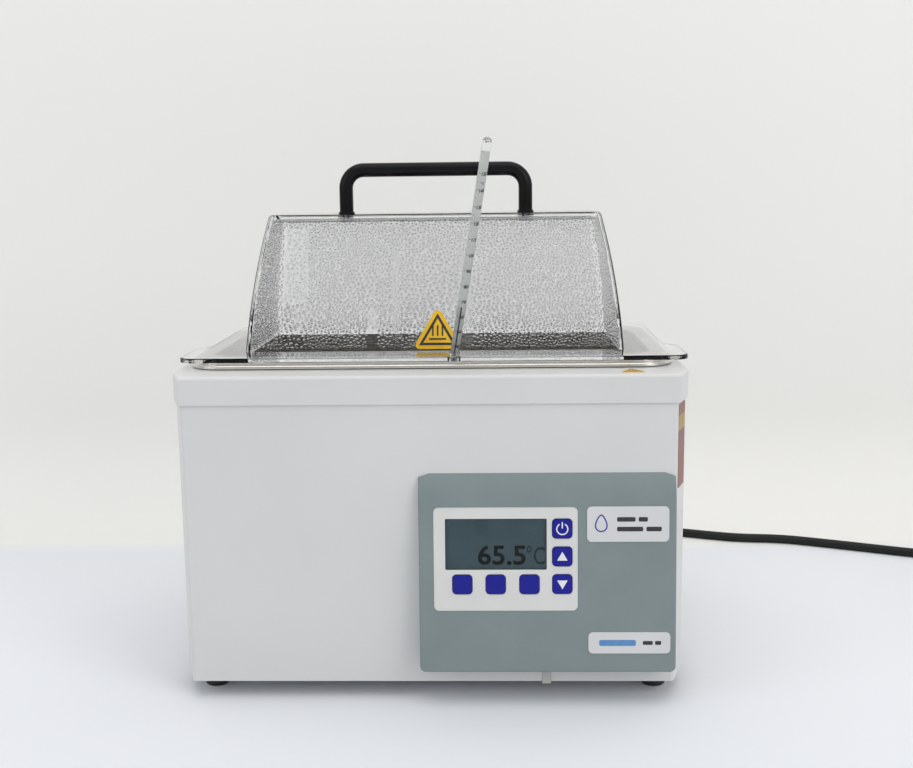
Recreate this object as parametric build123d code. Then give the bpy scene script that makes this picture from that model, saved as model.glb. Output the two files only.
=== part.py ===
from build123d import *
import math
import os

# A small laboratory water bath: a heated steel tank in a painted housing, with a clear lid, a glass
# thermometer through the lid and a tilted control panel on the front.
# Millimetres. +X is to the right of someone facing the panel, +Y is towards the back and +Z is up.
# The origin is on the table, under the middle of the bath's outer box.

# ---------------------------------------------------------------- driving dimensions
# Housing and cover
cover_half_front = 163.5      # half the cover's flat front face, between the canted corners
corner_run_x = 8.5            # how far a canted front corner widens the plan
corner_run_y = 24.0           # how far a canted front corner reaches back
cover_depth = 235.0
cover_top = 221.0             # height of the cover's top face above the table
skirt_height = 18.8
overhang = 1.5                # the cover's skirt stands proud of the housing by this
cover_edge_radius = 2.5
sheet = 1.2
bend_radius = 2.6
back_return = 14.0            # width of the wrap's inward flanges at the back
pan_lip = 14.0
pan_clearance = 0.3
# Cooling slots: a row of long ones in the floor, and three banks of short ones in the back
slot_radius = 1.7
floor_slot_length = 70.0
floor_slot_width = 4.0
floor_slot_rows = 7
floor_slot_pitch = 17.0
floor_slot_start = 60.0       # from the cover's front face
floor_slot_x = 5.0
vent_length = 44.0
vent_height = 3.6
vent_columns = (-95.0, -35.0, 25.0)
vent_rows = 6
vent_pitch = 9.0
vent_low = 60.0
# Feet
foot_height = 12.0
foot_bottom_radius = 7.8
foot_top_radius = 10.0
foot_side_inset = 20.0        # from the cover's sides to the feet's centres
foot_inset = 28.0             # from the cover's front and back faces to the feet's centres
foot_bore_radius = 2.3
# Tank
tank_length = 300.0
tank_width = 151.0
tank_depth = 150.0
tank_wall = 1.0
tank_corner_radius = 20.0
tank_floor_radius = 10.0
rim_length = 329.0
rim_width = 176.0
rim_corner_radius = 24.0
rim_height = 5.5              # the rim's top above the cover
rim_step_inset = 3.2
rim_step_height = 2.9
rim_front = 28.5              # from the cover's front face to the rim
gasket_height = 1.1
gasket_inset = 2.0
opening_clearance = 3.0       # round the tank wall, in the cover
jacket_thickness = 9.0
jacket_clearance = 0.5
# Heating
mat_length = 250.0
mat_width = 104.0
mat_thickness = 2.6
plate_thickness = 2.0
stud_radius = 2.0
stud_length = 11.0
stud_margin = 12.0            # from the mat's edges to the studs
nut_height = 3.2
nut_radius = 4.0
pad_thickness = 9.0
sensor_radius = 6.0
sensor_height = 7.0
cutout_radius = 8.0
cutout_height = 9.0
sensor_x = -38.0
cutout_x = 46.0
# Lid
lid_sheet = 3.0
lid_margin = 4.0              # the lid reaches past the rim by this, front and back
lid_side_inset = 2.5          # the lid is shorter than the rim by this, at each end
ear_inset = 1.0               # from the cover's sides to the lid's ears
lid_shift = 2.0               # the lid lies this far to the right of the tank's middle
ear_depth = 52.0
ear_radius = 11.0
dome_half_length = 131.0
dome_top_half_length = 117.0
dome_ledge = 29.5             # from the lid's front edge to the dome
dome_setback = 33.0           # how far the dome's front and back lean in over its height
dome_height = 93.0
dome_bulge = 2.5              # how far the dome's ends bow outwards at mid-height
dome_radius = 3.0
handle_half_spread = 65.0
handle_rod_radius = 5.0
handle_rise = 31.0            # from the dome's top to the bar's centre line
handle_bend_radius = 13.0
handle_foot_ledge = 0.9       # how far the bar's collars stand out round it
handle_foot_height = 1.2
washer_thickness = 1.2
washer_radius = 7.0
handle_screw_radius = 2.5
# Thermometer
stem_radius = 3.0
stem_length = 305.0
stem_above_rim = 157.0        # from the rim's top level to the stem's upper end, along the stem
stem_x = 16.0
stem_y = 46.0                 # behind the cover's front face, at the rim's top level
stem_lean_right = 24.4        # the stem's direction: right, forward and up
stem_lean_forward = 56.0
stem_lean_up = 144.7
bulb_length = 14.0
bulb_radius = 2.7
stem_hole_clearance = 1.7
# Control pod
pod_length = 168.4
pod_right_inset = 0.6         # from the front's right-hand corner to the pod's edge
face_margin = 9.0             # from the pod's left edge to the zero line of the things on its face
pod_bottom = 24.4
pod_flat_top = 136.4
pod_top = 156.0
pod_out_bottom = 15.6         # how far it stands out from the housing, low down
pod_out_top = 7.2             # and at the top of its flat face
pod_wall = 3.0
pod_corner_radius = 4.0
pod_top_corner_radius = 3.0
pod_edge_radius = 1.6
pod_screw_radius = 1.5
boss_radius = 3.4
boss_inset = 11.0             # from the pod's edges to the nearest screws
window_margin = 1.0           # round the keypad board, in the housing's front
# Things on the pod's face: centres and sizes, from the face's zero line and up the face
bezel_left = 0.8
bezel_low = 41.7
bezel_high = 110.6
bezel_thickness = 1.0
bezel_recess = 0.3
bezel_ledge = 2.0
bezel_corner_radius = 3.5
bezel_clearance = 0.15
display_left = 8.4
display_right = 74.9
display_low = 69.0
display_high = 103.0
window_lap = 1.0
window_thickness = 1.1
lcd_lap = 1.7
lcd_thickness = 2.6
lcd_gap = 0.2
key_size = 12.8
key_corner_radius = 2.9
key_proud = 0.7
key_clearance = 0.35
key_lip = 1.0
key_lip_thickness = 1.0
key_boss_radius = 2.4
key_boss_length = 1.3
key_travel = 0.6
key_column_x = 85.0
key_edge_margin = 3.8         # from the right-hand keys to the bezel's edge
key_column_heights = {"key_power": 96.4, "key_up": 77.9, "key_down": 59.5}
key_row_gap = 1.2             # from the display window to the lips of the keys under it
key_row_places = {"key_left": 19.5, "key_middle": 41.4, "key_right": 63.5}
key_gap = 0.3                 # between a key's lip and the bezel, and between its boss and the switch
keypad_board_margin = 2.4
board_thickness = 1.6
keypad_board_depth = 6.6      # from the pod's face to the keypad board
pillar_radius = 2.2
switch_size = 6.0
switch_body = 1.1
upper_badge = (101.1, 154.4, 87.7, 111.0)
lower_badge = (102.0, 155.5, 13.2, 27.4)
badge_thickness = 0.6
badge_radius = 3.0
clip_width = 6.0
clip_thickness = 1.2
clip_reach = 6.0
# Electronics
control_board = (-140.0, -20.0, 62.0, 142.0)   # left, right, and from the cover's front face to both edges
standoff_height = 8.0
standoff_radius = 3.0
transformer_x = 60.0
transformer_y = 100.0
core_size = (56.0, 44.0, 34.0)
coil_bulge = 7.0
terminal_x = 96.0
terminal_y = 176.0
terminal_size = (40.0, 20.0, 16.0)
ribbon_width = 24.0
ribbon_thickness = 1.2
ribbon_x = 45.0
wire_radius = 1.4
# Fasteners
screw_head_radius = 3.5
screw_head_height = 2.0
screw_shank_radius = 1.9
screw_clearance = 0.2
back_screw_heights = (34.0, 108.0, 182.0)
cover_screw_half_spread = 110.0
# Mains lead
cord_radius = 4.0
gland_x = 122.0
gland_height = 36.0
gland_wall = 5.0              # round the lead, at the collar
gland_length = 34.0
gland_tip_wall = 1.6
gland_stem_wall = 2.5
gland_stem_length = 9.0
coil_inner_turn = 38.0
coil_outer_turn = 55.2
coil_centre = (500.5, -2.6)   # from the origin's X and from the cover's back face
tie_width = 14.0
tie_thickness = 0.8
plug_length = 34.0
plug_width = 26.0
plug_thickness = 22.0
plug_neck_length = 22.0
plug_neck_wall = 1.6
blade_length = 16.0

# ---------------------------------------------------------------- worked-out places
cover_half_side = cover_half_front + corner_run_x
housing_half_front = cover_half_front - overhang
housing_half_side = cover_half_side - overhang
skirt_bottom = cover_top - skirt_height
front = -(overhang - pod_out_bottom + cover_depth + screw_head_height) / 2
back = front + cover_depth
housing_front = front + overhang
housing_back = back - overhang
wrap_back = housing_back - sheet
wrap_top = cover_top - sheet - pan_clearance
tank_y = front + rim_front + rim_width / 2
rim_top = cover_top + rim_height
tank_floor = rim_top - tank_depth
tank_underside = tank_floor - tank_wall
base_top = foot_height + sheet
lid_under = rim_top + 0.1
lid_top = lid_under + lid_sheet
lid_half_width = rim_width / 2 + lid_margin
lid_front = tank_y - lid_half_width
lid_half_length = rim_length / 2 - lid_side_inset
ear_half_length = cover_half_side - ear_inset
dome_half_width = lid_half_width - dome_ledge
dome_top = lid_top + dome_height
handle_foot_radius = handle_rod_radius + handle_foot_ledge
pod_right = housing_half_front - pod_right_inset
pod_left = pod_right - pod_length
face_x = pod_left + face_margin
bezel_right = key_column_x + key_size / 2 + key_edge_margin
key_row_height = display_low - window_lap - key_row_gap - key_lip - key_size / 2
face_tilt = math.degrees(math.atan2(pod_out_bottom - pod_out_top, pod_flat_top - pod_bottom))
face_plane = Plane(
    origin=(face_x, housing_front - pod_out_bottom, pod_bottom),
    x_dir=(1, 0, 0),
    z_dir=(0, -math.cos(math.radians(face_tilt)), math.sin(math.radians(face_tilt))),
)
stem_direction = Vector(stem_lean_right, -stem_lean_forward, stem_lean_up).normalized()
stem_hole_radius = stem_radius + stem_hole_clearance
stem_crossing = Vector(stem_x, front + stem_y, rim_top)
stem_tip = stem_crossing + stem_direction * stem_above_rim
stem_end = stem_tip - stem_direction * stem_length
bezel_back = -bezel_recess - bezel_thickness
window_back = bezel_back - window_thickness
lcd_front = window_back - lcd_gap
keypad_board_front = -keypad_board_depth
gland_radius = cord_radius + gland_wall
gland_tip_radius = cord_radius + gland_tip_wall
gland_stem_radius = cord_radius + gland_stem_wall
plug_neck_radius = cord_radius + plug_neck_wall
gland_end = housing_back + gland_length
foot_half_spread = cover_half_side - foot_side_inset
foot_places = [
    (side * foot_half_spread, y) for side in (-1, 1) for y in (front + foot_inset, back - foot_inset)
]

nodes = {}


# ---------------------------------------------------------------- helpers
def block(x0, x1, y0, y1, z0, z1):
    """A box between two opposite corners."""
    return Pos((x0 + x1) / 2, (y0 + y1) / 2, (z0 + z1) / 2) * Box(x1 - x0, y1 - y0, z1 - z0)


def upright(outline, z0, z1):
    """An outline on the ground plane, raised from z0 to z1."""
    return Pos(0, 0, z0) * extrude(outline, amount=z1 - z0, dir=(0, 0, 1))


def rounded(length, width, radius, z0, z1, x=0.0, y=0.0):
    """An upright block with round vertical corners."""
    return upright(Pos(x, y) * RectangleRounded(length, width, radius), z0, z1)


def rod(radius, start, end):
    """A round bar between two points."""
    line = Vector(*end) - Vector(*start)
    return extrude(Plane(origin=start, z_dir=line) * Circle(radius), amount=line.length)


def cone(radius_0, radius_1, start, end):
    """A tapered round bar between two points."""
    line = Vector(*end) - Vector(*start)
    lower = Plane(origin=start, z_dir=line)
    upper = Plane(origin=end, z_dir=line)
    return loft([lower * Circle(radius_0), upper * Circle(radius_1)])


def plan(half_front, half_side, y0, y1):
    """The housing seen from above: a flat front, a canted corner each side of it, and a square back."""
    outline = Polyline(
        (-half_front, y0),
        (half_front, y0),
        (half_side, y0 + corner_run_y),
        (half_side, y1),
        (-half_side, y1),
        (-half_side, y0 + corner_run_y),
        close=True,
    )
    return fillet(make_face(outline).vertices(), bend_radius)


def on_face(x0, x1, low, high, w0, w1, radius):
    """A round-cornered slab on the pod's face, from depth w0 to w1 along the face's outward normal."""
    slab = Pos((x0 + x1) / 2, (low + high) / 2, w0) * RectangleRounded(x1 - x0, high - low, radius)
    return extrude(face_plane * slab, amount=w1 - w0)


def pin_on_face(x, height, radius, w0, w1):
    """A round pin square to the pod's face."""
    return extrude(face_plane * Pos(x, height, w0) * Circle(radius), amount=w1 - w0)


def pan_head_screw(head_place, direction, length):
    """A screw whose head sits on head_place and whose shank runs along direction."""
    start = Vector(*head_place)
    line = Vector(*direction)
    head = rod(screw_head_radius, start - line * screw_head_height, start)
    crown = head.faces().sort_by(lambda f: (f.center() - start).dot(line))[0]
    head = fillet(crown.edges(), screw_head_height * 0.45)
    return head + rod(screw_shank_radius, start, start + line * length)


# ---------------------------------------------------------------- housing
wrap_plan = plan(housing_half_front, housing_half_side, housing_front, wrap_back)
cover_plan = plan(cover_half_front, cover_half_side, front, back)
boss_places = [
    (pod_left + boss_inset, pod_bottom + boss_inset),
    (pod_right - boss_inset, pod_bottom + boss_inset),
    (pod_right - boss_inset, pod_flat_top - boss_inset + 2.5),
    (face_x + bezel_right + keypad_board_margin + boss_radius + 1.0, pod_flat_top - boss_inset + 2.5),
]
board_edge_left = bezel_left - 2 * keypad_board_margin
board_edge_right = bezel_right + keypad_board_margin
wiring_window = (
    face_x + board_edge_left - window_margin,
    face_x + board_edge_right + window_margin,
    pod_bottom + bezel_low - window_margin,
    pod_bottom + bezel_high + window_margin,
)


def make_wrap():
    """The front and sides, folded from one sheet, with narrow flanges turned in at the back."""
    shell = upright(wrap_plan, foot_height, wrap_top)
    shell -= upright(offset(wrap_plan, amount=-sheet), foot_height, wrap_top)
    reach = housing_half_side - back_return
    shell -= block(-reach, reach, wrap_back - 2 * sheet, wrap_back + 1, foot_height, wrap_top)
    x0, x1, z0, z1 = wiring_window
    shell -= block(x0, x1, housing_front - 1, housing_front + 2 * sheet, z0, z1)
    for x, z in boss_places:
        shell -= rod(
            pod_screw_radius + screw_clearance,
            (x, housing_front - 1, z),
            (x, housing_front + 2 * sheet, z),
        )
    for x, z in back_screw_places:
        shell -= rod(screw_shank_radius + screw_clearance, (x, wrap_back - 3, z), (x, wrap_back + 1, z))
    return shell


def make_base_pan():
    """The bottom plate, with a turned-up lip inside the wrap, vent slots and holes for the feet."""
    outline = offset(wrap_plan, amount=-sheet - pan_clearance)
    pan = upright(outline, foot_height, base_top + pan_lip)
    pan -= upright(offset(outline, amount=-sheet), base_top, base_top + pan_lip)
    for x, y in foot_places:
        pan -= rod(foot_bore_radius, (x, y, foot_height - 1), (x, y, base_top + 1))
    for row in range(floor_slot_rows):
        y = front + floor_slot_start + floor_slot_pitch * row
        pan -= rounded(floor_slot_length, floor_slot_width, slot_radius, foot_height - 1, base_top + 1, x=floor_slot_x, y=y)
    for x, y in standoff_places:
        pan -= rod(screw_clearance + 1.5, (x, y, foot_height - 1), (x, y, base_top + 1))
    return pan


def make_back_panel():
    """A flat plate that closes the back, with two banks of cooling slots and the lead's hole."""
    panel = block(-housing_half_side, housing_half_side, wrap_back, housing_back, foot_height, wrap_top)
    panel = fillet(panel.edges().filter_by(Axis.Y), bend_radius)
    panel = fillet(panel.faces().sort_by(Axis.Y)[-1].edges(), sheet * 0.8)
    slot = RectangleRounded(vent_length, vent_height, slot_radius)
    for column in vent_columns:
        for row in range(vent_rows):
            height = vent_low + vent_pitch * row
            place = Plane(origin=(column, wrap_back - 1, height), x_dir=(1, 0, 0), z_dir=(0, 1, 0))
            panel -= extrude(place * slot, amount=sheet + 2)
    panel -= rod(
        gland_stem_radius + 0.1, (gland_x, wrap_back - 1, gland_height), (gland_x, housing_back + 1, gland_height)
    )
    for x, z in back_screw_places + cover_screw_places:
        panel -= rod(screw_shank_radius + screw_clearance, (x, wrap_back - 1, z), (x, housing_back + 1, z))
    return panel


def make_top_cover():
    """The cover: one pressed sheet with a skirt all round and an opening that the tank drops into."""
    outer = upright(cover_plan, skirt_bottom, cover_top)
    outer = fillet(outer.edges().group_by(Axis.Z)[-1], cover_edge_radius)
    cover = outer - upright(offset(cover_plan, amount=-sheet), skirt_bottom, cover_top - sheet)
    cover -= rounded(
        tank_length + 2 * (tank_wall + opening_clearance),
        tank_width + 2 * (tank_wall + opening_clearance),
        tank_corner_radius + opening_clearance,
        cover_top - 2 * sheet,
        cover_top + 1,
        y=tank_y,
    )
    for x, z in cover_screw_places:
        cover -= rod(screw_shank_radius + screw_clearance, (x, back - 3, z), (x, back + 1, z))
    return cover


back_screw_places = [
    (side * (housing_half_side - back_return / 2), z) for side in (-1, 1) for z in back_screw_heights
]
cover_screw_places = [
    (side * cover_screw_half_spread, skirt_bottom + skirt_height * 0.45) for side in (-1, 1)
]
board_left, board_right, board_near, board_far = control_board
standoff_places = [
    (x, front + y)
    for x in (board_left + 6, board_right - 6)
    for y in (board_near + 6, board_far - 6)
]


def make_feet():
    """Four tapered rubber feet, each with a recess for its screw."""
    feet = []
    for x, y in foot_places:
        foot = cone(foot_bottom_radius, foot_top_radius, (x, y, 0), (x, y, foot_height))
        foot = fillet(foot.edges().group_by(Axis.Z)[0], 1.2)
        foot -= rod(foot_bore_radius, (x, y, -1), (x, y, foot_height + 1))
        foot -= rod(screw_head_radius + 0.8, (x, y, -1), (x, y, 5))
        feet.append(foot)
    return Compound(children=feet)


def make_foot_screws():
    return Compound(children=[pan_head_screw((x, y, 5), (0, 0, 1), 12) for x, y in foot_places])


# ---------------------------------------------------------------- tank and heating
def make_tank():
    """The pressed tank: a stepped rim with a rolled mouth, straight walls and a rounded floor."""
    lower = rounded(rim_length, rim_width, rim_corner_radius, cover_top + gasket_height - 0.4, cover_top + rim_step_height)
    lower = fillet(lower.edges().group_by(Axis.Z)[-1], 1.2)
    step = 2 * rim_step_inset
    upper = rounded(
        rim_length - step, rim_width - step, rim_corner_radius - rim_step_inset, cover_top + rim_step_height - 1.5, rim_top
    )
    upper = fillet(upper.edges().group_by(Axis.Z)[-1], 1.6)
    hollow = rounded(
        rim_length - 2 * tank_wall,
        rim_width - 2 * tank_wall,
        rim_corner_radius - tank_wall,
        cover_top,
        cover_top + rim_step_height - tank_wall,
    )
    hollow += rounded(
        rim_length - step - 2 * tank_wall,
        rim_width - step - 2 * tank_wall,
        rim_corner_radius - rim_step_inset - tank_wall,
        cover_top,
        rim_top - tank_wall,
    )
    rim = lower + upper - hollow
    body = rounded(
        tank_length + 2 * tank_wall,
        tank_width + 2 * tank_wall,
        tank_corner_radius + tank_wall,
        tank_underside,
        rim_top - tank_wall,
    )
    body = fillet(body.edges().group_by(Axis.Z)[0], tank_floor_radius + tank_wall)
    inside = rounded(tank_length, tank_width, tank_corner_radius, tank_floor, rim_top + 4)
    inside = fillet(inside.edges().group_by(Axis.Z)[0], tank_floor_radius)
    above = rounded(rim_length + 20, rim_width + 20, rim_corner_radius, rim_top, rim_top + 4)
    room = inside + above
    mouth = [
        e
        for e in room.edges()
        if abs(e.center().Z - rim_top) < 0.01
        and abs(e.center().X) < tank_length / 2 + 1
        and abs(e.center().Y) < tank_width / 2 + 1
    ]
    room = fillet(mouth, 1.8)
    return Pos(0, tank_y, 0) * (rim + body - room)


def make_rim_gasket():
    """A soft strip between the rim's edge and the cover."""
    ring = rounded(
        rim_length - 2 * gasket_inset,
        rim_width - 2 * gasket_inset,
        rim_corner_radius - gasket_inset,
        cover_top,
        cover_top + gasket_height - 0.5,
        y=tank_y,
    )
    return ring - rounded(
        rim_length - 2 * gasket_inset - 9,
        rim_width - 2 * gasket_inset - 9,
        rim_corner_radius - gasket_inset - 4.5,
        cover_top - 1,
        cover_top + gasket_height,
        y=tank_y,
    )


def make_tank_jacket():
    """Insulation wrapped round the tank's walls."""
    inner = 2 * (tank_wall + jacket_clearance)
    outer = inner + 2 * jacket_thickness
    low = tank_underside + tank_floor_radius + 2
    high = skirt_bottom + 4
    jacket = rounded(
        tank_length + outer, tank_width + outer, tank_corner_radius + jacket_thickness, low, high, y=tank_y
    )
    return jacket - rounded(
        tank_length + inner, tank_width + inner, tank_corner_radius + tank_wall, low - 1, high + 1, y=tank_y
    )


stud_places = [
    (sx * (mat_length / 2 - stud_margin), tank_y + sy * (mat_width / 2 - stud_margin))
    for sx in (-1, 1)
    for sy in (-1, 1)
]
mat_bottom = tank_underside - mat_thickness
plate_bottom = mat_bottom - plate_thickness


def under_tank_sheet(length, width, top, thickness, stud_hole, disc_clearance):
    """A flat piece under the tank, with holes for the studs and for the two discs on the tank's floor."""
    piece = rounded(length, width, 6, top - thickness, top, y=tank_y)
    for x, y in stud_places:
        piece -= rod(stud_hole, (x, y, top - thickness - 1), (x, y, top + 1))
    for x, radius in ((sensor_x, sensor_radius), (cutout_x, cutout_radius)):
        hole = radius + disc_clearance
        piece -= rod(hole, (x, tank_y, top - thickness - 1), (x, tank_y, top + 1))
    return piece


def make_heater_studs():
    """Threaded studs welded to the tank's underside."""
    return Compound(
        children=[
            rod(stud_radius, (x, y, tank_underside - stud_length), (x, y, tank_underside)) for x, y in stud_places
        ]
    )


def make_heater_nuts():
    """Hexagon nuts that hold the clamp plate and the heater against the tank."""
    nuts = []
    for x, y in stud_places:
        nut = upright(Pos(x, y) * RegularPolygon(nut_radius, 6), plate_bottom - nut_height, plate_bottom)
        nuts.append(nut - rod(stud_radius + 0.05, (x, y, plate_bottom - 9), (x, y, plate_bottom + 1)))
    return Compound(children=nuts)


def make_temperature_probe():
    """A flat-bottomed sensor button pressed against the tank, with its short lead-out."""
    top = tank_underside
    button = rod(sensor_radius, (sensor_x, tank_y, top - sensor_height), (sensor_x, tank_y, top))
    button = fillet(button.edges().group_by(Axis.Z)[0], 1.0)
    return button + rod(1.6, (sensor_x, tank_y, top - sensor_height - 5), (sensor_x, tank_y, top - sensor_height))


def make_safety_cutout():
    """A disc thermostat that opens if the bath runs dry, with its two blade terminals."""
    top = tank_underside
    disc = rod(cutout_radius, (cutout_x, tank_y, top - cutout_height), (cutout_x, tank_y, top))
    disc = fillet(disc.edges().group_by(Axis.Z)[0], 1.2)
    for side in (-1, 1):
        x = cutout_x + side * 3.5
        disc += block(x - 0.4, x + 0.4, tank_y - 2.4, tank_y + 2.4, top - cutout_height - 7, top - cutout_height)
    return disc


# ---------------------------------------------------------------- lid
def make_lid_shell():
    """One clear moulding: a flat flange with an ear at each front corner, and a gabled dome."""
    back_edge = tank_y + lid_half_width
    slant = ear_half_length - lid_half_length
    outline = make_face(
        Polyline(
            (-ear_half_length, lid_front),
            (ear_half_length, lid_front),
            (ear_half_length, lid_front + ear_depth),
            (lid_half_length, lid_front + ear_depth + slant),
            (lid_half_length, back_edge),
            (-lid_half_length, back_edge),
            (-lid_half_length, lid_front + ear_depth + slant),
            (-ear_half_length, lid_front + ear_depth),
            close=True,
        )
    )
    outline = fillet(outline.vertices(), ear_radius)
    flange = upright(outline, lid_under, lid_top)
    flange = fillet(flange.edges().group_by(Axis.Z)[-1], 0.9)

    def half_size(z):
        """Half the dome's outer length and width at a height, its ends bowing outwards."""
        share = (z - lid_under) / (dome_top - lid_under)
        lean_in = (dome_half_length - dome_top_half_length) * share
        return dome_half_length - lean_in + 4 * dome_bulge * share * (1 - share), dome_half_width - dome_setback * share

    def dome(inset, top, bottom):
        """The dome's outer or inner surface as a solid: its front view and its side view, intersected."""
        middle = (top + bottom) / 2
        (low_x, low_y), (middle_x, _), (top_x, top_y) = [half_size(z) for z in (bottom, middle, top)]
        low_x, middle_x, top_x = low_x - inset, middle_x - inset, top_x - inset
        front_view = make_face(
            [
                Line((-low_x, bottom), (low_x, bottom)),
                ThreePointArc((low_x, bottom), (middle_x, middle), (top_x, top)),
                Line((top_x, top), (-top_x, top)),
                ThreePointArc((-top_x, top), (-middle_x, middle), (-low_x, bottom)),
            ]
        )
        reach = lid_half_width
        body = Pos(0, tank_y + reach, 0) * extrude(Plane.XZ * front_view, amount=2 * reach, dir=(0, -1, 0))
        side_view = Polyline(
            (tank_y - low_y + inset, bottom),
            (tank_y + low_y - inset, bottom),
            (tank_y + top_y - inset, top),
            (tank_y - top_y + inset, top),
            close=True,
        )
        across = extrude(Plane.YZ * make_face(side_view), amount=2 * dome_half_length + 20, dir=(1, 0, 0))
        return body & Pos(-dome_half_length - 10, 0, 0) * across

    outer = dome(0.0, dome_top, lid_under)
    outer = fillet(outer.edges().filter_by(lambda e: e.center().Z > lid_under + 1), dome_radius)
    inner = dome(lid_sheet, dome_top - lid_sheet, lid_under - 1)
    shell = Pos(lid_shift, 0, 0) * (flange + outer - inner)
    for side in (-1, 1):
        x = lid_shift + side * handle_half_spread
        shell -= rod(handle_screw_radius + screw_clearance, (x, tank_y, dome_top - 5), (x, tank_y, dome_top + 1))
    middle = stem_crossing + stem_direction * (lid_sheet / 2 / stem_direction.Z)
    shell -= rod(stem_hole_radius, (middle.X, middle.Y, lid_under - 1), (middle.X, middle.Y, lid_top + 1))
    return shell


def make_handle():
    """A bent round bar on two collars."""
    top = dome_top + handle_rise
    low = dome_top + handle_foot_height
    x = handle_half_spread
    path = FilletPolyline((-x, tank_y, low), (-x, tank_y, top), (x, tank_y, top), (x, tank_y, low), radius=handle_bend_radius)
    bar = sweep(Plane(origin=(-x, tank_y, low), z_dir=(0, 0, 1)) * Circle(handle_rod_radius), path=path)
    for side in (-1, 1):
        collar = rod(handle_foot_radius, (side * x, tank_y, dome_top), (side * x, tank_y, low))
        bar += fillet(collar.edges().group_by(Axis.Z)[-1], handle_foot_ledge / 2)
        bar -= rod(handle_screw_radius + 0.05, (side * x, tank_y, dome_top - 1), (side * x, tank_y, dome_top + 12))
    return Pos(lid_shift, 0, 0) * bar


def make_handle_washers():
    """Two washers under the lid's top."""
    under = dome_top - lid_sheet
    washers = []
    for side in (-1, 1):
        x = lid_shift + side * handle_half_spread
        washer = rod(washer_radius, (x, tank_y, under - washer_thickness), (x, tank_y, under))
        washers.append(washer - rod(handle_screw_radius + 0.1, (x, tank_y, under - 3), (x, tank_y, under + 1)))
    return Compound(children=washers)


def make_handle_screws():
    """Two screws up into the handle's ends."""
    under = dome_top - lid_sheet - washer_thickness
    screws = []
    for side in (-1, 1):
        x = lid_shift + side * handle_half_spread
        head = rod(4.6, (x, tank_y, under - 2.6), (x, tank_y, under))
        head = fillet(head.edges().group_by(Axis.Z)[0], 1.0)
        screws.append(head + rod(handle_screw_radius, (x, tank_y, under), (x, tank_y, dome_top + 11)))
    return Compound(children=screws)


def triangle_plate(plane, width, thickness, radius):
    """A thin equilateral triangle with rounded corners, standing on its base at the plane's origin."""
    height = width * math.sqrt(3) / 2
    outline = make_face(Polyline((-width / 2, 0), (width / 2, 0), (0, height), close=True))
    outline = fillet(outline.vertices(), radius)
    return extrude(plane * outline, amount=thickness)


lean = math.atan2(dome_setback, dome_top - lid_under)
dome_front_plane = Plane(
    origin=(lid_shift + 2.6, tank_y - dome_half_width + (lid_top + 1.2 - lid_under) * math.tan(lean), lid_top + 1.2),
    x_dir=(1, 0, 0),
    z_dir=(0, -math.cos(lean), math.sin(lean)),
)

# ---------------------------------------------------------------- thermometer
def make_stem():
    """The glass stem, rounded at its upper end."""
    start = stem_end + stem_direction * bulb_length
    body = rod(stem_radius, start, stem_tip)
    crown = body.faces().sort_by(lambda f: f.center().Z)[-1]
    return fillet(crown.edges(), stem_radius * 0.9)


def make_bulb():
    """The thin-walled bulb at the stem's lower end."""
    start = stem_end + stem_direction * bulb_length
    bulb = rod(bulb_radius, stem_end, start)
    low = bulb.faces().sort_by(lambda f: f.center().Z)[0]
    return fillet(low.edges(), bulb_radius * 0.85)


# ---------------------------------------------------------------- control pod
def pod_profile(low, high, out_low, out_high, curve_top):
    """Side view of the pod: an upright back, a tilted flat face and a top that curves back."""
    rise = high - low
    lines = [
        Line((housing_front, low), (housing_front - out_low, low)),
        Line((housing_front - out_low, low), (housing_front - out_high, high)),
        TangentArc(
            (housing_front - out_high, high),
            (housing_front, curve_top),
            tangent=(out_low - out_high, rise),
        ),
        Line((housing_front, curve_top), (housing_front, low)),
    ]
    return make_face(lines)


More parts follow.
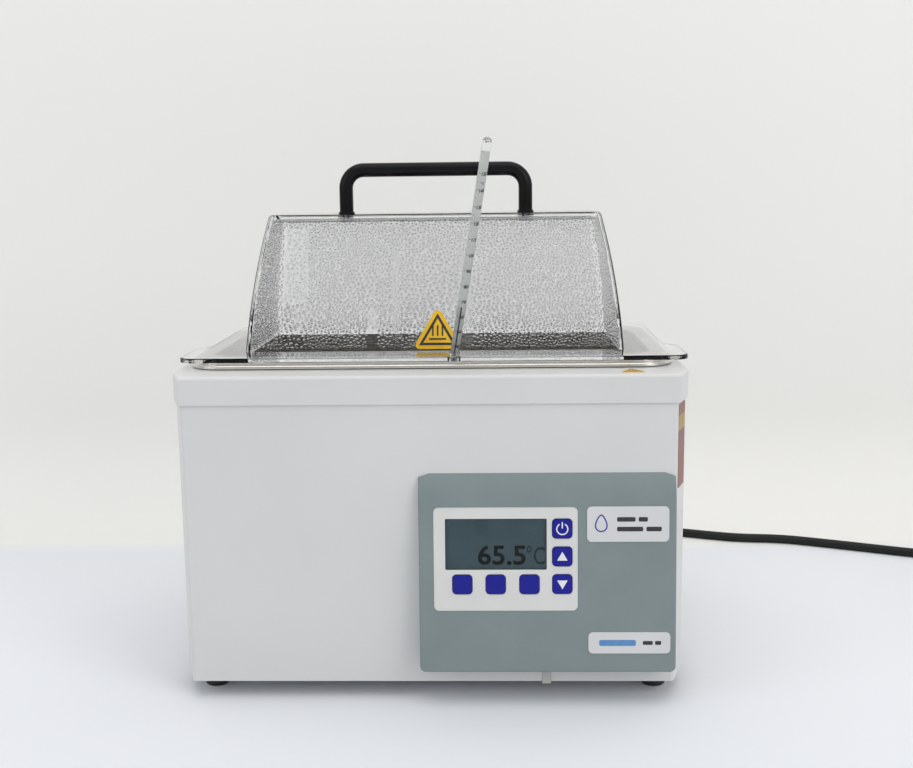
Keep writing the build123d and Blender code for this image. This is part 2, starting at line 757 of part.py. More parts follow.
def make_pod():
    """The moulded pod: an open-backed shell with a pocket for the keypad and bosses for its screws."""
    profile = Plane.YZ * pod_profile(pod_bottom, pod_flat_top, pod_out_bottom, pod_out_top, pod_top)
    outer = Pos(pod_left, 0, 0) * extrude(profile, amount=pod_length, dir=(1, 0, 0))
    front_view = Plane(
        origin=((pod_left + pod_right) / 2, housing_front + 1, (pod_bottom + pod_top) / 2),
        x_dir=(1, 0, 0),
        z_dir=(0, -1, 0),
    )
    silhouette = Rectangle(pod_length, pod_top - pod_bottom)
    silhouette = fillet(silhouette.vertices().group_by(Axis.Y)[0], pod_corner_radius)
    silhouette = fillet(silhouette.vertices().group_by(Axis.Y)[-1], pod_top_corner_radius)
    outer &= extrude(front_view * silhouette, amount=pod_out_bottom + 4)
    on_front = outer.edges().filter_by(lambda e: e.center().Y < housing_front - 0.5)
    perimeter = [e for e in on_front if e.length > 2 and on_perimeter(e)]
    outer = fillet(perimeter, pod_edge_radius)
    slope = (pod_out_bottom - pod_out_top) / (pod_flat_top - pod_bottom)
    inner_profile = make_face(
        Polyline(
            (housing_front + 1, pod_bottom + pod_wall),
            (housing_front - pod_out_bottom + pod_wall * (slope + 1), pod_bottom + pod_wall),
            (housing_front - pod_out_top + pod_wall, pod_flat_top),
            (housing_front - 1.5, pod_flat_top + 5.5),
            (housing_front + 1, pod_flat_top + 5.5),
            close=True,
        )
    )
    inner = Pos(pod_left + pod_wall, 0, 0) * extrude(
        Plane.YZ * inner_profile, amount=pod_length - 2 * pod_wall, dir=(1, 0, 0)
    )
    pod = outer - inner
    slack = bezel_clearance
    pod -= on_face(
        bezel_left - slack, bezel_right + slack, bezel_low - slack, bezel_high + slack, bezel_back, 1, bezel_corner_radius
    )
    pod -= on_face(
        bezel_left + bezel_ledge,
        bezel_right - bezel_ledge,
        bezel_low + bezel_ledge,
        bezel_high - bezel_ledge,
        -pod_wall - 1,
        1,
        bezel_corner_radius - 1,
    )
    for x, z in boss_places:
        boss = rod(boss_radius, (x, housing_front, z), (x, housing_front - pod_out_bottom, z)) & outer
        reach = pod_out_bottom - (z - pod_bottom) * slope - 2.0
        pod += boss - rod(pod_screw_radius + 0.05, (x, housing_front + 1, z), (x, housing_front - reach, z))
    for x, height in pillar_places:
        pod += pin_on_face(x, height, pillar_radius, keypad_board_front, -pod_wall + 0.2)
    return pod


def on_perimeter(edge):
    """Whether an edge runs round the outside of the pod as seen from the front."""
    c = edge.center()
    near_side = min(abs(c.X - pod_left), abs(c.X - pod_right)) < pod_corner_radius
    near_bottom = abs(c.Z - pod_bottom) < pod_corner_radius
    flush = abs(edge.position_at(0).Y - edge.position_at(1).Y) > 3 and abs(edge.position_at(0).Z - edge.position_at(1).Z) < 1e-3
    return (near_side or near_bottom) and not flush


pillar_places = [
    (x, height)
    for x in (board_edge_left + pillar_radius + 0.3, board_edge_right - pillar_radius - 0.3)
    for height in (bezel_low + 6, bezel_high - 6)
]
keys = {name: (key_column_x, height) for name, height in key_column_heights.items()}
keys.update({name: (x, key_row_height) for name, x in key_row_places.items()})


def make_bezel():
    """The white keypad surround, with a window for the display and a hole for each key."""
    bezel = on_face(
        bezel_left, bezel_right, bezel_low, bezel_high, bezel_back, -bezel_recess, bezel_corner_radius - bezel_clearance
    )
    bezel -= on_face(display_left, display_right, display_low, display_high, bezel_back - 1, 1, 0.8)
    half = key_size / 2 + key_clearance
    for x, height in keys.values():
        bezel -= on_face(x - half, x + half, height - half, height + half, bezel_back - 1, 1, key_corner_radius)
    return bezel


def make_key(x, height):
    """A keycap with a retaining lip behind the bezel and a boss that meets the switch."""
    half = key_size / 2
    lip_front = bezel_back - key_gap
    lip_back = lip_front - key_lip_thickness
    cap = on_face(x - half, x + half, height - half, height + half, lip_back, -bezel_recess + key_proud, key_corner_radius)
    top = cap.faces().sort_by(lambda f: f.center().Y)[0]
    cap = fillet(top.edges(), 0.4)
    lip = half + key_lip
    cap += on_face(x - lip, x + lip, height - lip, height + lip, lip_back, lip_front, key_corner_radius)
    return cap + pin_on_face(x, height, key_boss_radius, lip_back - key_boss_length, lip_back + 0.2)


def make_switches():
    """A tactile switch on the keypad board behind each key."""
    button_top = bezel_back - key_gap - key_lip_thickness - key_boss_length - key_travel - key_gap
    switches = []
    half = switch_size / 2
    for x, height in keys.values():
        body = on_face(
            x - half, x + half, height - half, height + half, keypad_board_front, keypad_board_front + switch_body, 0.5
        )
        switches.append(body + pin_on_face(x, height, 1.6, keypad_board_front + switch_body - 0.1, button_top))
    return Compound(children=switches)


def make_display_window():
    lap = window_lap
    return on_face(
        display_left - lap, display_right + lap, display_low - lap, display_high + lap, window_back, bezel_back, 0.8
    )


def make_lcd_module():
    """The display glass in its frame, on four legs that stand on the keypad board."""
    lap = lcd_lap
    x0, x1, low, high = display_left - lap, display_right + lap, display_low - lap + 0.9, display_high + lap - 0.9
    lcd_back = lcd_front - lcd_thickness
    module = on_face(x0, x1, low, high, lcd_back, lcd_front, 0.6)
    for x in (x0 + 4, x1 - 4):
        for height in (low + 4, high - 4):
            module += pin_on_face(x, height, 1.2, keypad_board_front, lcd_back + 0.1)
    return module


def make_keypad_board():
    back_face = keypad_board_front - board_thickness
    return on_face(
        board_edge_left,
        board_edge_right,
        bezel_low + 1,
        bezel_high - 1,
        back_face,
        keypad_board_front,
        1.0,
    )


def make_badge(edges):
    """A thin name plate, stuck on the pod's face."""
    x0, x1, low, high = edges
    return on_face(x0, x1, low, high, 0, badge_thickness, badge_radius)


def make_pod_screws():
    """Screws from inside the housing into the pod's bosses."""
    slope = (pod_out_bottom - pod_out_top) / (pod_flat_top - pod_bottom)
    screws = []
    for x, z in boss_places:
        seat = housing_front + sheet
        tip = housing_front - (pod_out_bottom - (z - pod_bottom) * slope - pod_wall - 0.4)
        head = rod(3.0, (x, seat, z), (x, seat + 2, z))
        screws.append(head + rod(pod_screw_radius, (x, tip, z), (x, seat, z)))
    return Compound(children=screws)


def make_panel_clip():
    """A small catch that hooks the pod's lower edge to the housing's bottom edge."""
    x = (pod_left + pod_right) / 2
    half = clip_width / 2
    face = housing_front
    low = foot_height - clip_thickness
    clip = block(x - half, x + half, face - clip_thickness, face, low, pod_bottom)
    clip = fillet(clip.edges().filter_by(Axis.Z).group_by(Axis.Y)[0], 0.8)
    return clip + block(x - half, x + half, face - 0.2, face + clip_reach, low, foot_height)


# ---------------------------------------------------------------- electronics
board_z = base_top + standoff_height


def make_control_board():
    board = block(board_left, board_right, front + board_near, front + board_far, board_z, board_z + board_thickness)
    for x, y in standoff_places:
        board -= rod(1.7, (x, y, board_z - 1), (x, y, board_z + 3))
    return board


def make_board_parts():
    """The larger parts on the control board: two capacitors, a connector, a fuse and a chip."""
    z = board_z + board_thickness
    y = front + board_near
    parts = []
    for i in range(2):
        x = board_left + 24 + 20 * i
        can = rod(7.5, (x, y + 60, z), (x, y + 60, z + 22))
        parts.append(fillet(can.edges().group_by(Axis.Z)[-1], 1.0))
    parts.append(block(board_right - 44, board_right - 18, y + 2, y + 10, z, z + 9))
    parts.append(block(board_left + 16, board_left + 44, y + 22, y + 36, z, z + 3.2))
    fuse = rod(2.6, (board_right - 36, y + 66, z + 4), (board_right - 16, y + 66, z + 4))
    parts.append(fuse + block(board_right - 36, board_right - 32, y + 63, y + 69, z, z + 4) + block(board_right - 20, board_right - 16, y + 63, y + 69, z, z + 4))
    return Compound(children=parts)


def make_heater_switch():
    """The solid-state switch that drives the heater, with its finned heat sink."""
    z = board_z + board_thickness
    x = board_right - 50
    y = front + board_near + 20
    sink = block(x, x + 34, y, y + 26, z, z + 5)
    for i in range(7):
        sink += block(x + 5 * i, x + 5 * i + 2, y, y + 26, z + 4, z + 20)
    return sink


def make_standoffs():
    pieces = []
    for x, y in standoff_places:
        post = upright(Pos(x, y) * RegularPolygon(standoff_radius, 6), base_top, board_z)
        pieces.append(post - rod(1.55, (x, y, base_top - 1), (x, y, board_z + 1)))
    return Compound(children=pieces)


def make_transformer():
    """A laminated core with its winding."""
    x, y = transformer_x, front + transformer_y
    length, width, height = core_size
    core = block(x - length / 2, x + length / 2, y - width / 2, y + width / 2, base_top, base_top + height)
    core = fillet(core.edges().filter_by(Axis.Z), 1.0)
    winding = block(
        x - length * 0.3,
        x + length * 0.3,
        y - width / 2 - coil_bulge,
        y + width / 2 + coil_bulge,
        base_top + 5,
        base_top + height - 5,
    )
    return core + fillet(winding.edges().filter_by(Axis.X), 4.0)


def make_terminal_block():
    x, y = terminal_x, front + terminal_y
    length, width, height = terminal_size
    piece = block(x - length / 2, x + length / 2, y - width / 2, y + width / 2, base_top, base_top + height)
    for i in range(4):
        px = x - length / 2 + 5 + 10 * i
        for side in (-1, 1):
            piece -= rod(3, (px, y + side * 5, base_top + height - 4), (px, y + side * 5, base_top + height + 1))
    for i in range(3):
        px = x - length / 2 + 10 + 10 * i
        piece -= block(px - 0.7, px + 0.7, y - width, y + width, base_top + 8, base_top + height + 1)
    return piece


def make_ribbon_cable():
    """The flat cable from the control board up to the keypad board, through the wrap's window."""
    start_y = front + board_near + 1.5
    z0 = board_z + board_thickness
    bend_y = housing_front + 16
    high = pod_bottom + bezel_low + 24
    low_face = Vector(*(face_plane * Pos(0, high - pod_bottom, keypad_board_front - board_thickness)).position)
    path = [
        (start_y, z0 + 6.0),
        (start_y - 8, z0 + 6.0),
        (bend_y, z0 + 14.0),
        (bend_y, high - 8),
        (low_face.Y + 0.05, high + 2),
    ]
    width = ribbon_thickness
    upper = [(y + width * 0.8, z + width) for y, z in reversed(path)]
    face = make_face(Polyline(*path, *upper, close=True))
    cable = extrude(Plane.YZ * face, amount=ribbon_width, dir=(1, 0, 0))
    return Pos(face_x + ribbon_x - ribbon_width / 2, 0, 0) * cable


def make_internal_leads():
    """Single wires from the lead's gland to the terminal block and from it to the transformer."""
    leads = []
    y_end = front + terminal_y + terminal_size[1] / 2
    for i in range(3):
        x = terminal_x - 10 + 10 * i
        gland_side = (gland_x - 3.2 + 3.2 * i, housing_back - gland_stem_length, gland_height - 2 + (i % 2) * 4)
        leads.append(rod(wire_radius, gland_side, (x, y_end, base_top + 6)))
    y_near = front + terminal_y - terminal_size[1] / 2
    for i in range(2):
        x = terminal_x - 10 + 10 * i
        leads.append(
            rod(
                wire_radius,
                (x, y_near, base_top + 6),
                (transformer_x - 4 + 8 * i, front + transformer_y + core_size[1] / 2 + coil_bulge, base_top + 14),
            )
        )
    return Compound(children=leads)


# ---------------------------------------------------------------- mains lead
def make_strain_relief():
    """The gland: a nut-shaped collar outside the back panel, a ribbed taper, and a stem inside."""
    y = housing_back
    collar = rod(gland_radius, (gland_x, y, gland_height), (gland_x, y + 6, gland_height))
    collar = fillet(collar.edges().group_by(Axis.Y)[-1], 1.0)
    taper = cone(gland_radius - 1.6, gland_tip_radius, (gland_x, y + 5, gland_height), (gland_x, gland_end, gland_height))
    for i in range(4):
        ring_y = y + 10 + 5.6 * i
        radius = gland_radius + 0.2 - 0.55 * i - 0.8
        taper -= rod(gland_radius + 2, (gland_x, ring_y, gland_height), (gland_x, ring_y + 1.6, gland_height)) - rod(
            radius - 2.2, (gland_x, ring_y - 1, gland_height), (gland_x, ring_y + 3, gland_height)
        )
    inner = rod(gland_stem_radius, (gland_x, y - gland_stem_length, gland_height), (gland_x, y, gland_height))
    return collar + taper + inner


# Route of the lead over the table, from the gland to the coil, relative to the cover's back face in Y.
cord_route = [
    (122.0, 32.5, 36.0),
    (122.0, 57.0, 34.5),
    (122.6, 83.0, 23.0),
    (126.0, 108.5, 8.6),
    (140.0, 132.0, 4.0),
    (168.0, 147.0, 4.0),
    (205.0, 150.5, 4.0),
    (242.0, 136.0, 4.0),
    (278.0, 123.0, 4.0),
    (316.0, 121.0, 4.0),
    (355.0, 105.5, 4.0),
    (393.0, 89.0, 4.0),
    (432.0, 72.0, 4.0),
    (476.0, 57.5, 4.0),
    (523.0, 47.8, 4.0),
]


def cord_radii(points):
    """The largest arc that the two runs at each corner leave room for."""
    radii = []
    for a, b, c in zip(points, points[1:], points[2:]):
        run_in = Vector(*b) - Vector(*a)
        run_out = Vector(*c) - Vector(*b)
        half_turn = math.radians(run_in.get_angle(run_out)) / 2
        radii.append(0.45 * min(run_in.length, run_out.length) / math.tan(half_turn))
    return radii


def cord_tube(points):
    """A round tube along straight runs joined by tangent arcs."""
    radii = cord_radii(points)
    path = FilletPolyline(*points, radius=radii)
    start = Plane(origin=points[0], z_dir=Vector(*points[1]) - Vector(*points[0]))
    tube = sweep(start * Circle(cord_radius), path=path)
    expected = math.pi * cord_radius**2 * path.length
    print("cord radii", [round(r) for r in radii], "length", round(path.length), "volume", round(tube.volume / expected, 4))
    return tube


coil_x = coil_centre[0]
coil_y = back + coil_centre[1]
coil_height = 4 * cord_radius
tail_start_angle = math.radians(-20)
lead_points = [(x, back + y, z) for x, y, z in cord_route]
tail_origin = (
    coil_x + coil_outer_turn * math.cos(tail_start_angle),
    coil_y + coil_outer_turn * math.sin(tail_start_angle),
)
tail_heading = (math.sin(tail_start_angle), -math.cos(tail_start_angle))
tail_length = 44.0
plug_start = (
    tail_origin[0] + tail_heading[0] * tail_length,
    tail_origin[1] + tail_heading[1] * tail_length,
    plug_thickness / 2,
)


def make_power_cord():
    """The lead from the gland to the coil, and its short end from the coil to the plug."""
    sideways = (-tail_heading[1], tail_heading[0])
    tail = [
        (tail_origin[0], tail_origin[1], 3 * cord_radius),
        (
            tail_origin[0] + tail_heading[0] * tail_length * 0.5 + sideways[0],
            tail_origin[1] + tail_heading[1] * tail_length * 0.5 + sideways[1],
            3 * cord_radius - 0.4,
        ),
        plug_start,
    ]
    return Compound(children=[cord_tube(lead_points), cord_tube(tail)])


def coil_ring(growth, z0, z1):
    """The bundle of turns as one closed ring."""
    ring = rod(coil_outer_turn + cord_radius + growth, (coil_x, coil_y, z0), (coil_x, coil_y, z1))
    return ring - rod(coil_inner_turn - cord_radius - growth, (coil_x, coil_y, z0 - 1), (coil_x, coil_y, z1 + 1))


tie_zone = block(
    coil_x - coil_outer_turn - 12, coil_x - coil_inner_turn + 12, coil_y - tie_width / 2, coil_y + tie_width / 2, -1, 30
)


def make_coil_tie():
    """A strap round the bundle."""
    band = coil_ring(tie_thickness, 0, coil_height + tie_thickness) & tie_zone
    return band - coil_ring(0, tie_thickness, coil_height)


def make_cord_coil():
    ring = coil_ring(0, 0, coil_height)
    ring = fillet(ring.edges().group_by(Axis.Z)[-1] + ring.edges().group_by(Axis.Z)[0], cord_radius * 0.9)
    return ring - (coil_ring(2, -1, tie_thickness) & tie_zone)


def plug_frame():
    """A plane whose normal points along the plug, out of its face."""
    return Plane(origin=plug_start, z_dir=(tail_heading[0], tail_heading[1], 0), x_dir=(-tail_heading[1], tail_heading[0], 0))


def make_plug():
    """A moulded plug with a flexible neck, two flat blades and a round earth pin."""
    frame = plug_frame()
    neck = loft(
        [frame * Circle(plug_neck_radius), frame * Pos(0, 0, plug_neck_length) * Circle(plug_neck_radius + 3)]
    )
    body = extrude(
        frame * Pos(0, 0, plug_neck_length - 1) * RectangleRounded(plug_width, plug_thickness, 5), amount=plug_length
    )
    body = fillet(body.faces().sort_by(lambda f: (f.center() - frame.origin).dot(frame.z_dir))[0].edges(), 2.5)
    return neck + body


def make_plug_pins():
    frame = plug_frame()
    start = plug_neck_length + plug_length - 1
    pins = [
        extrude(frame * Pos(side * 6.35, 2.5, start) * Rectangle(1.6, 6.4), amount=blade_length) for side in (-1, 1)
    ]
    pins.append(extrude(frame * Pos(0, -6.0, start) * Circle(2.4), amount=blade_length + 2))
    return Compound(children=pins)


# ---------------------------------------------------------------- labels
def make_side_label():
    """A printed label on the right-hand canted corner."""
    length = math.hypot(corner_run_x, corner_run_y)
    normal = Vector(corner_run_y, -corner_run_x, 0).normalized()
    middle = Vector(housing_half_front + corner_run_x / 2, housing_front + corner_run_y / 2, skirt_bottom - 30)
    plane = Plane(origin=middle, x_dir=(corner_run_x / length, corner_run_y / length, 0), z_dir=normal)
    return extrude(plane * RectangleRounded(length - 6, 56, 1.5), amount=0.3)


# ---------------------------------------------------------------- the whole bath
nodes["housing_wrap"] = make_wrap()
nodes["base_pan"] = make_base_pan()
nodes["back_panel"] = make_back_panel()
nodes["top_cover"] = make_top_cover()
nodes["rubber_feet"] = make_feet()
nodes["foot_screws"] = make_foot_screws()
nodes["back_panel_screws"] = Compound(
    children=[pan_head_screw((x, housing_back, z), (0, -1, 0), 7) for x, z in back_screw_places]
)
nodes["cover_screws"] = Compound(
    children=[pan_head_screw((x, back, z), (0, -1, 0), 7) for x, z in cover_screw_places]
)
nodes["tank"] = make_tank()
nodes["rim_gasket"] = make_rim_gasket()
nodes["tank_jacket"] = make_tank_jacket()
nodes["heater_mat"] = under_tank_sheet(mat_length, mat_width, tank_underside, mat_thickness, stud_radius + 0.5, 1.0)
nodes["heater_clamp_plate"] = under_tank_sheet(
    mat_length, mat_width, mat_bottom, plate_thickness, stud_radius + 0.3, 1.5
)
nodes["bottom_insulation"] = under_tank_sheet(
    mat_length + 20, mat_width + 16, plate_bottom, pad_thickness, nut_radius + 1.5, 2.5
)
nodes["heater_studs"] = make_heater_studs()
nodes["heater_nuts"] = make_heater_nuts()
nodes["temperature_probe"] = make_temperature_probe()
nodes["safety_cutout"] = make_safety_cutout()
nodes["lid_shell"] = make_lid_shell()
nodes["lid_handle"] = make_handle()
nodes["handle_washers"] = make_handle_washers()
nodes["handle_screws"] = make_handle_screws()
nodes["lid_caution_label"] = triangle_plate(dome_front_plane, 35.0, 0.3, 3.0)
nodes["thermometer_stem"] = make_stem()
nodes["thermometer_bulb"] = make_bulb()
nodes["control_pod"] = make_pod()
nodes["pod_screws"] = make_pod_screws()
nodes["panel_clip"] = make_panel_clip()
nodes["keypad_bezel"] = make_bezel()
nodes["display_window"] = make_display_window()
nodes["lcd_module"] = make_lcd_module()
nodes["keypad_board"] = make_keypad_board()
nodes["key_switches"] = make_switches()
for key_name, (key_x, key_height) in keys.items():
    nodes[key_name] = make_key(key_x, key_height)
nodes["upper_badge"] = make_badge(upper_badge)
nodes["lower_badge"] = make_badge(lower_badge)
nodes["control_board"] = make_control_board()
nodes["board_parts"] = make_board_parts()
nodes["heater_switch"] = make_heater_switch()
nodes["board_standoffs"] = make_standoffs()
nodes["transformer"] = make_transformer()
nodes["terminal_block"] = make_terminal_block()
nodes["ribbon_cable"] = make_ribbon_cable()
nodes["internal_leads"] = make_internal_leads()
nodes["side_label"] = make_side_label()
nodes["cover_caution_label"] = triangle_plate(
    Plane(origin=(134, front + 8, cover_top), x_dir=(1, 0, 0), z_dir=(0, 0, 1)), 18.0, 0.3, 1.8
)
nodes["strain_relief"] = make_strain_relief()
nodes["power_cord"] = make_power_cord()
nodes["cord_coil"] = make_cord_coil()
nodes["coil_tie"] = make_coil_tie()
nodes["mains_plug"] = make_plug()
nodes["plug_pins"] = make_plug_pins()

os.makedirs("parts", exist_ok=True)
for name, shape in nodes.items():
    export_step(shape, f"parts/{name}.step")
print(len(nodes), "nodes; cover front at y =", round(front, 2))
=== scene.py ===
# %% [markdown]
# # A small laboratory water bath
#
# The bath is a painted steel box with a stainless tank, a clear lid wet inside from the warm water, a glass
# thermometer through the lid and a grey control pod. The fixed frame comes first: every sub-part of the
# design is loaded in its place.

# %% Load the frame
import math
import random

import bpy
from mathutils import Matrix, Vector


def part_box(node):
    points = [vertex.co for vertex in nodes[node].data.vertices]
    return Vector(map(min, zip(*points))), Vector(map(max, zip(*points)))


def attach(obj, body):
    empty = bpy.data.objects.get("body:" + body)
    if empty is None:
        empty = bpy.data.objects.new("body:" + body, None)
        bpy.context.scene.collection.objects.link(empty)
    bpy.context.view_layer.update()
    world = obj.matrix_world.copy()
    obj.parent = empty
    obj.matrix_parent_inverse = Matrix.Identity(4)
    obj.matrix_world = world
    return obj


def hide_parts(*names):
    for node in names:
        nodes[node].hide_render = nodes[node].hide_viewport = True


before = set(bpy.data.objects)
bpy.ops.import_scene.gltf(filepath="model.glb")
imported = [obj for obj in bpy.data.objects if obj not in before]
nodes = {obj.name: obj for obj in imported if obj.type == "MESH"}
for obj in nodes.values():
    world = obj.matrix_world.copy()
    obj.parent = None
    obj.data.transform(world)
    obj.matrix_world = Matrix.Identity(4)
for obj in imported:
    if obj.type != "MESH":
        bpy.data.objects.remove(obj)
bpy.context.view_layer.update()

mm = 0.001
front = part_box("top_cover")[0].y
print("sub-parts loaded:", len(nodes), "cover front at y", round(front, 4))

# %% [markdown]
# ## The camera
#
# A normal lens looks at the bath from a little above, almost square to its front. A camera's own axes are its
# right, its up and the way it looks from, so its matrix is built from three turns: yaw, pitch and roll.

# %% Camera
bpy.ops.object.select_all(action="DESELECT")
bpy.ops.object.camera_add()
camera = bpy.context.object
camera.name = "camera"
camera.data.sensor_width = 36.0
camera.data.lens = 47.6
yaw, pitch, roll = math.radians(1.72), math.radians(90 - 9.45), math.radians(-0.69)
turns = Matrix.Rotation(yaw, 4, "Z") @ Matrix.Rotation(pitch, 4, "X") @ Matrix.Rotation(roll, 4, "Z")
camera.matrix_world = Matrix.Translation((0.04206, front - 0.7691, 0.34354)) @ turns
bpy.context.scene.camera = camera
bpy.context.scene.view_settings.view_transform = "Standard"
print("camera lens", camera.data.lens, "mm, height", round(camera.location.z, 3))

# %% [markdown]
# ## The mains lead
#
# An 8 mm black lead leaves the gland at the back, drops to the table and runs out to the right, where the
# spare length is wound into a flat coil two layers deep with a strap round it. A lead is one continuous
# flexible tube, so it is one smooth curve with a round bevel: listed points where it lies loose, and
# turns worked out by a loop where it is coiled. The lower layer winds inwards, climbs half a turn, and the
# upper layer winds out again.

# %% Lead: loose stretch
cord_radius = 4.0 * mm
route = [
    (122.0, 267.5, 36.0),
    (122.0, 292.0, 34.5),
    (122.6, 318.0, 23.0),
    (126.0, 343.5, 8.6),
    (140.0, 367.0, 4.0),
    (168.0, 382.0, 4.0),
    (205.0, 385.5, 4.0),
    (242.0, 371.0, 4.0),
    (278.0, 358.0, 4.0),
    (316.0, 356.0, 4.0),
    (355.0, 340.5, 4.0),
    (393.0, 324.0, 4.0),
    (432.0, 307.0, 4.0),
    (476.0, 292.5, 4.0),
    (523.0, 282.8, 4.0),
]
lead_points = [Vector((x * mm, front + y * mm, z * mm)) for x, y, z in route]
print("loose stretch:", len(lead_points), "points")

# %% Lead: coiled stretch and short end
coil_centre = Vector((500.5 * mm, front + 232.4 * mm))
inner_turn, outer_turn = 38.0 * mm, 55.2 * mm
layer_turns = 2.12
points_per_turn = 24
entry_angle = math.radians(66)
steps = round(2 * layer_turns * points_per_turn)
for step in range(1, steps + 1):
    wound = step / steps * 2 * layer_turns
    angle = entry_angle - 2 * math.pi * wound
    inward = wound / layer_turns if wound < layer_turns else 2 - wound / layer_turns
    radius = outer_turn + (inner_turn - outer_turn) * inward
    climb = min(1.0, max(0.0, (wound - layer_turns + 0.25) / 0.5))
    height = cord_radius * (1 + 2 * (3 * climb**2 - 2 * climb**3))
    across = Vector((math.cos(angle), math.sin(angle))) * radius
    lead_points.append(Vector((coil_centre.x + across.x, coil_centre.y + across.y, height)))
heading = Vector((math.sin(angle), -math.cos(angle), 0))
coil_end = lead_points[-1].copy()
for distance in (14, 28, 43, 50):
    lead_points.append(coil_end + heading * distance * mm + Vector((0, 0, -0.022 * distance * mm)))
print("whole lead:", len(lead_points), "points")

# %% Lead: the curve
def smooth_curve(name, points, radius, sides):
    """One open NURBS curve with a round bevel, through the neighbourhood of its points."""
    data = bpy.data.curves.new(name, "CURVE")
    data.dimensions = "3D"
    spline = data.splines.new("NURBS")
    spline.points.add(len(points) - 1)
    for place, point in zip(spline.points, points):
        place.co = (*point, 1.0)
        place.radius = radius
    spline.order_u = 3
    spline.use_endpoint_u = True
    spline.resolution_u = 6
    data.bevel_depth = 1.0
    data.bevel_resolution = sides
    data.use_fill_caps = True
    piece = bpy.data.objects.new(name, data)
    bpy.context.scene.collection.objects.link(piece)
    return piece


mains_lead = smooth_curve("mains_lead", lead_points, cord_radius, 4)
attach(mains_lead, "bath")
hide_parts("power_cord", "cord_coil")
print("lead curve made")

# %% [markdown]
# ## Floor, wall and light
#
# The bath stands on a pale seamless sheet that curves up behind it. The sheet is a plane whose back edge is
# extruded up through a quarter turn in a few steps. Large soft lamps above and to both sides give pale, open
# shadows, and a bright sky fills what they miss.

# %% Helpers for modelling
def start_piece():
    """Leaves edit mode and deselects everything, so that the next operator acts on its own piece alone."""
    if bpy.context.mode != "OBJECT":
        bpy.ops.object.mode_set(mode="OBJECT")
    bpy.ops.object.select_all(action="DESELECT")


def pick(mode, test):
    """In edit mode, selects only the elements of that kind whose middle (and normal) pass the test."""
    bpy.ops.mesh.select_mode(type=mode)
    bpy.ops.mesh.select_all(action="DESELECT")
    bpy.ops.object.mode_set(mode="OBJECT")
    mesh = bpy.context.object.data
    chosen = 0
    if mode == "VERT":
        for vertex in mesh.vertices:
            vertex.select = test(vertex.co, vertex.normal)
            chosen += vertex.select
    elif mode == "EDGE":
        for edge in mesh.edges:
            middle = (mesh.vertices[edge.vertices[0]].co + mesh.vertices[edge.vertices[1]].co) / 2
            edge.select = test(middle, None)
            chosen += edge.select
    else:
        for face in mesh.polygons:
            face.select = test(face.center, face.normal)
            chosen += face.select
    bpy.ops.object.mode_set(mode="EDIT")
    return chosen


def finish_piece(name, smooth=40):
    """Leaves edit mode, sets the origin to the world's, names the piece and smooths its gentle edges."""
    if bpy.context.mode != "OBJECT":
        bpy.ops.object.mode_set(mode="OBJECT")
    piece = bpy.context.object
    bpy.ops.object.transform_apply(location=True, rotation=True, scale=True)
    piece.name = piece.data.name = name
    if smooth:
        bpy.ops.object.shade_smooth_by_angle(angle=math.radians(smooth))
    return piece


print("modelling helpers ready")

# %% Floor and wall
start_piece()
bpy.ops.mesh.primitive_plane_add(size=1.0, location=(0.1, -1.35, 0))
bpy.ops.transform.resize(value=(6.0, 3.3, 1.0))
bpy.ops.object.mode_set(mode="EDIT")
pick("EDGE", lambda middle, normal: middle.y > 0.49)
sweep_radius = 0.10
sweep_steps = 8
for step in range(sweep_steps):
    tilt = math.radians(90) * (step + 0.5) / sweep_steps
    stride = sweep_radius * math.radians(90) / sweep_steps
    bpy.ops.mesh.extrude_region_move(
        TRANSFORM_OT_translate={"value": (0, stride * math.cos(tilt), stride * math.sin(tilt))}
    )
bpy.ops.mesh.extrude_region_move(TRANSFORM_OT_translate={"value": (0, 0, 2.6)})
backdrop = finish_piece("backdrop", smooth=60)
print("floor and wall made")


# %% Lamps
def lamp(name, place, target, size, power, colour):
    """A square soft lamp at a place, turned to its target."""
    bpy.ops.object.light_add(type="AREA", location=place)
    light = bpy.context.object
    light.name = name
    light.rotation_euler = (Vector(target) - Vector(place)).to_track_quat("-Z", "Y").to_euler()
    light.data.shape = "SQUARE"
    light.data.size = size
    light.data.energy = power
    light.data.color = colour


start_piece()
lamp("top_lamp", (0.05, -0.25, 1.75), (0, 0, 0.1), 1.9, 14.0, (1.0, 1.0, 1.0))
lamp("right_lamp", (1.5, -1.35, 1.1), (0, 0, 0.15), 1.2, 11.5, (1.0, 0.99, 0.97))
lamp("left_lamp", (-1.6, -1.1, 1.0), (0, 0, 0.15), 1.2, 7.0, (0.98, 0.99, 1.0))
world = bpy.data.worlds.new("studio")
bpy.context.scene.world = world
world.use_nodes = True
world.node_tree.nodes["Background"].inputs["Color"].default_value = (0.96, 0.98, 1.0, 1.0)
world.node_tree.nodes["Background"].inputs["Strength"].default_value = 0.42

# %% [markdown]
# ## Finishes
#
# Every surface gets a small material of its own. Each starts as a plain shader and is given what the real
# finish has: slight colour variation, a grain in its roughness and a fine relief. All patterns read the
# object's own coordinates, in metres, so their scale is the real one.

# %% Helpers for finishes
def new_finish(name, colour, roughness, metallic=0.0, **sockets):
    """A material with a plain shader; other sockets are set by name, with _ for a space."""
    material = bpy.data.materials.new(name)
    material.use_nodes = True
    shader = material.node_tree.nodes["Principled BSDF"]
    shader.inputs["Base Color"].default_value = (*colour, 1.0)
    shader.inputs["Roughness"].default_value = roughness
    shader.inputs["Metallic"].default_value = metallic
    for socket, value in sockets.items():
        shader.inputs[socket.replace("_", " ")].default_value = value
    return material


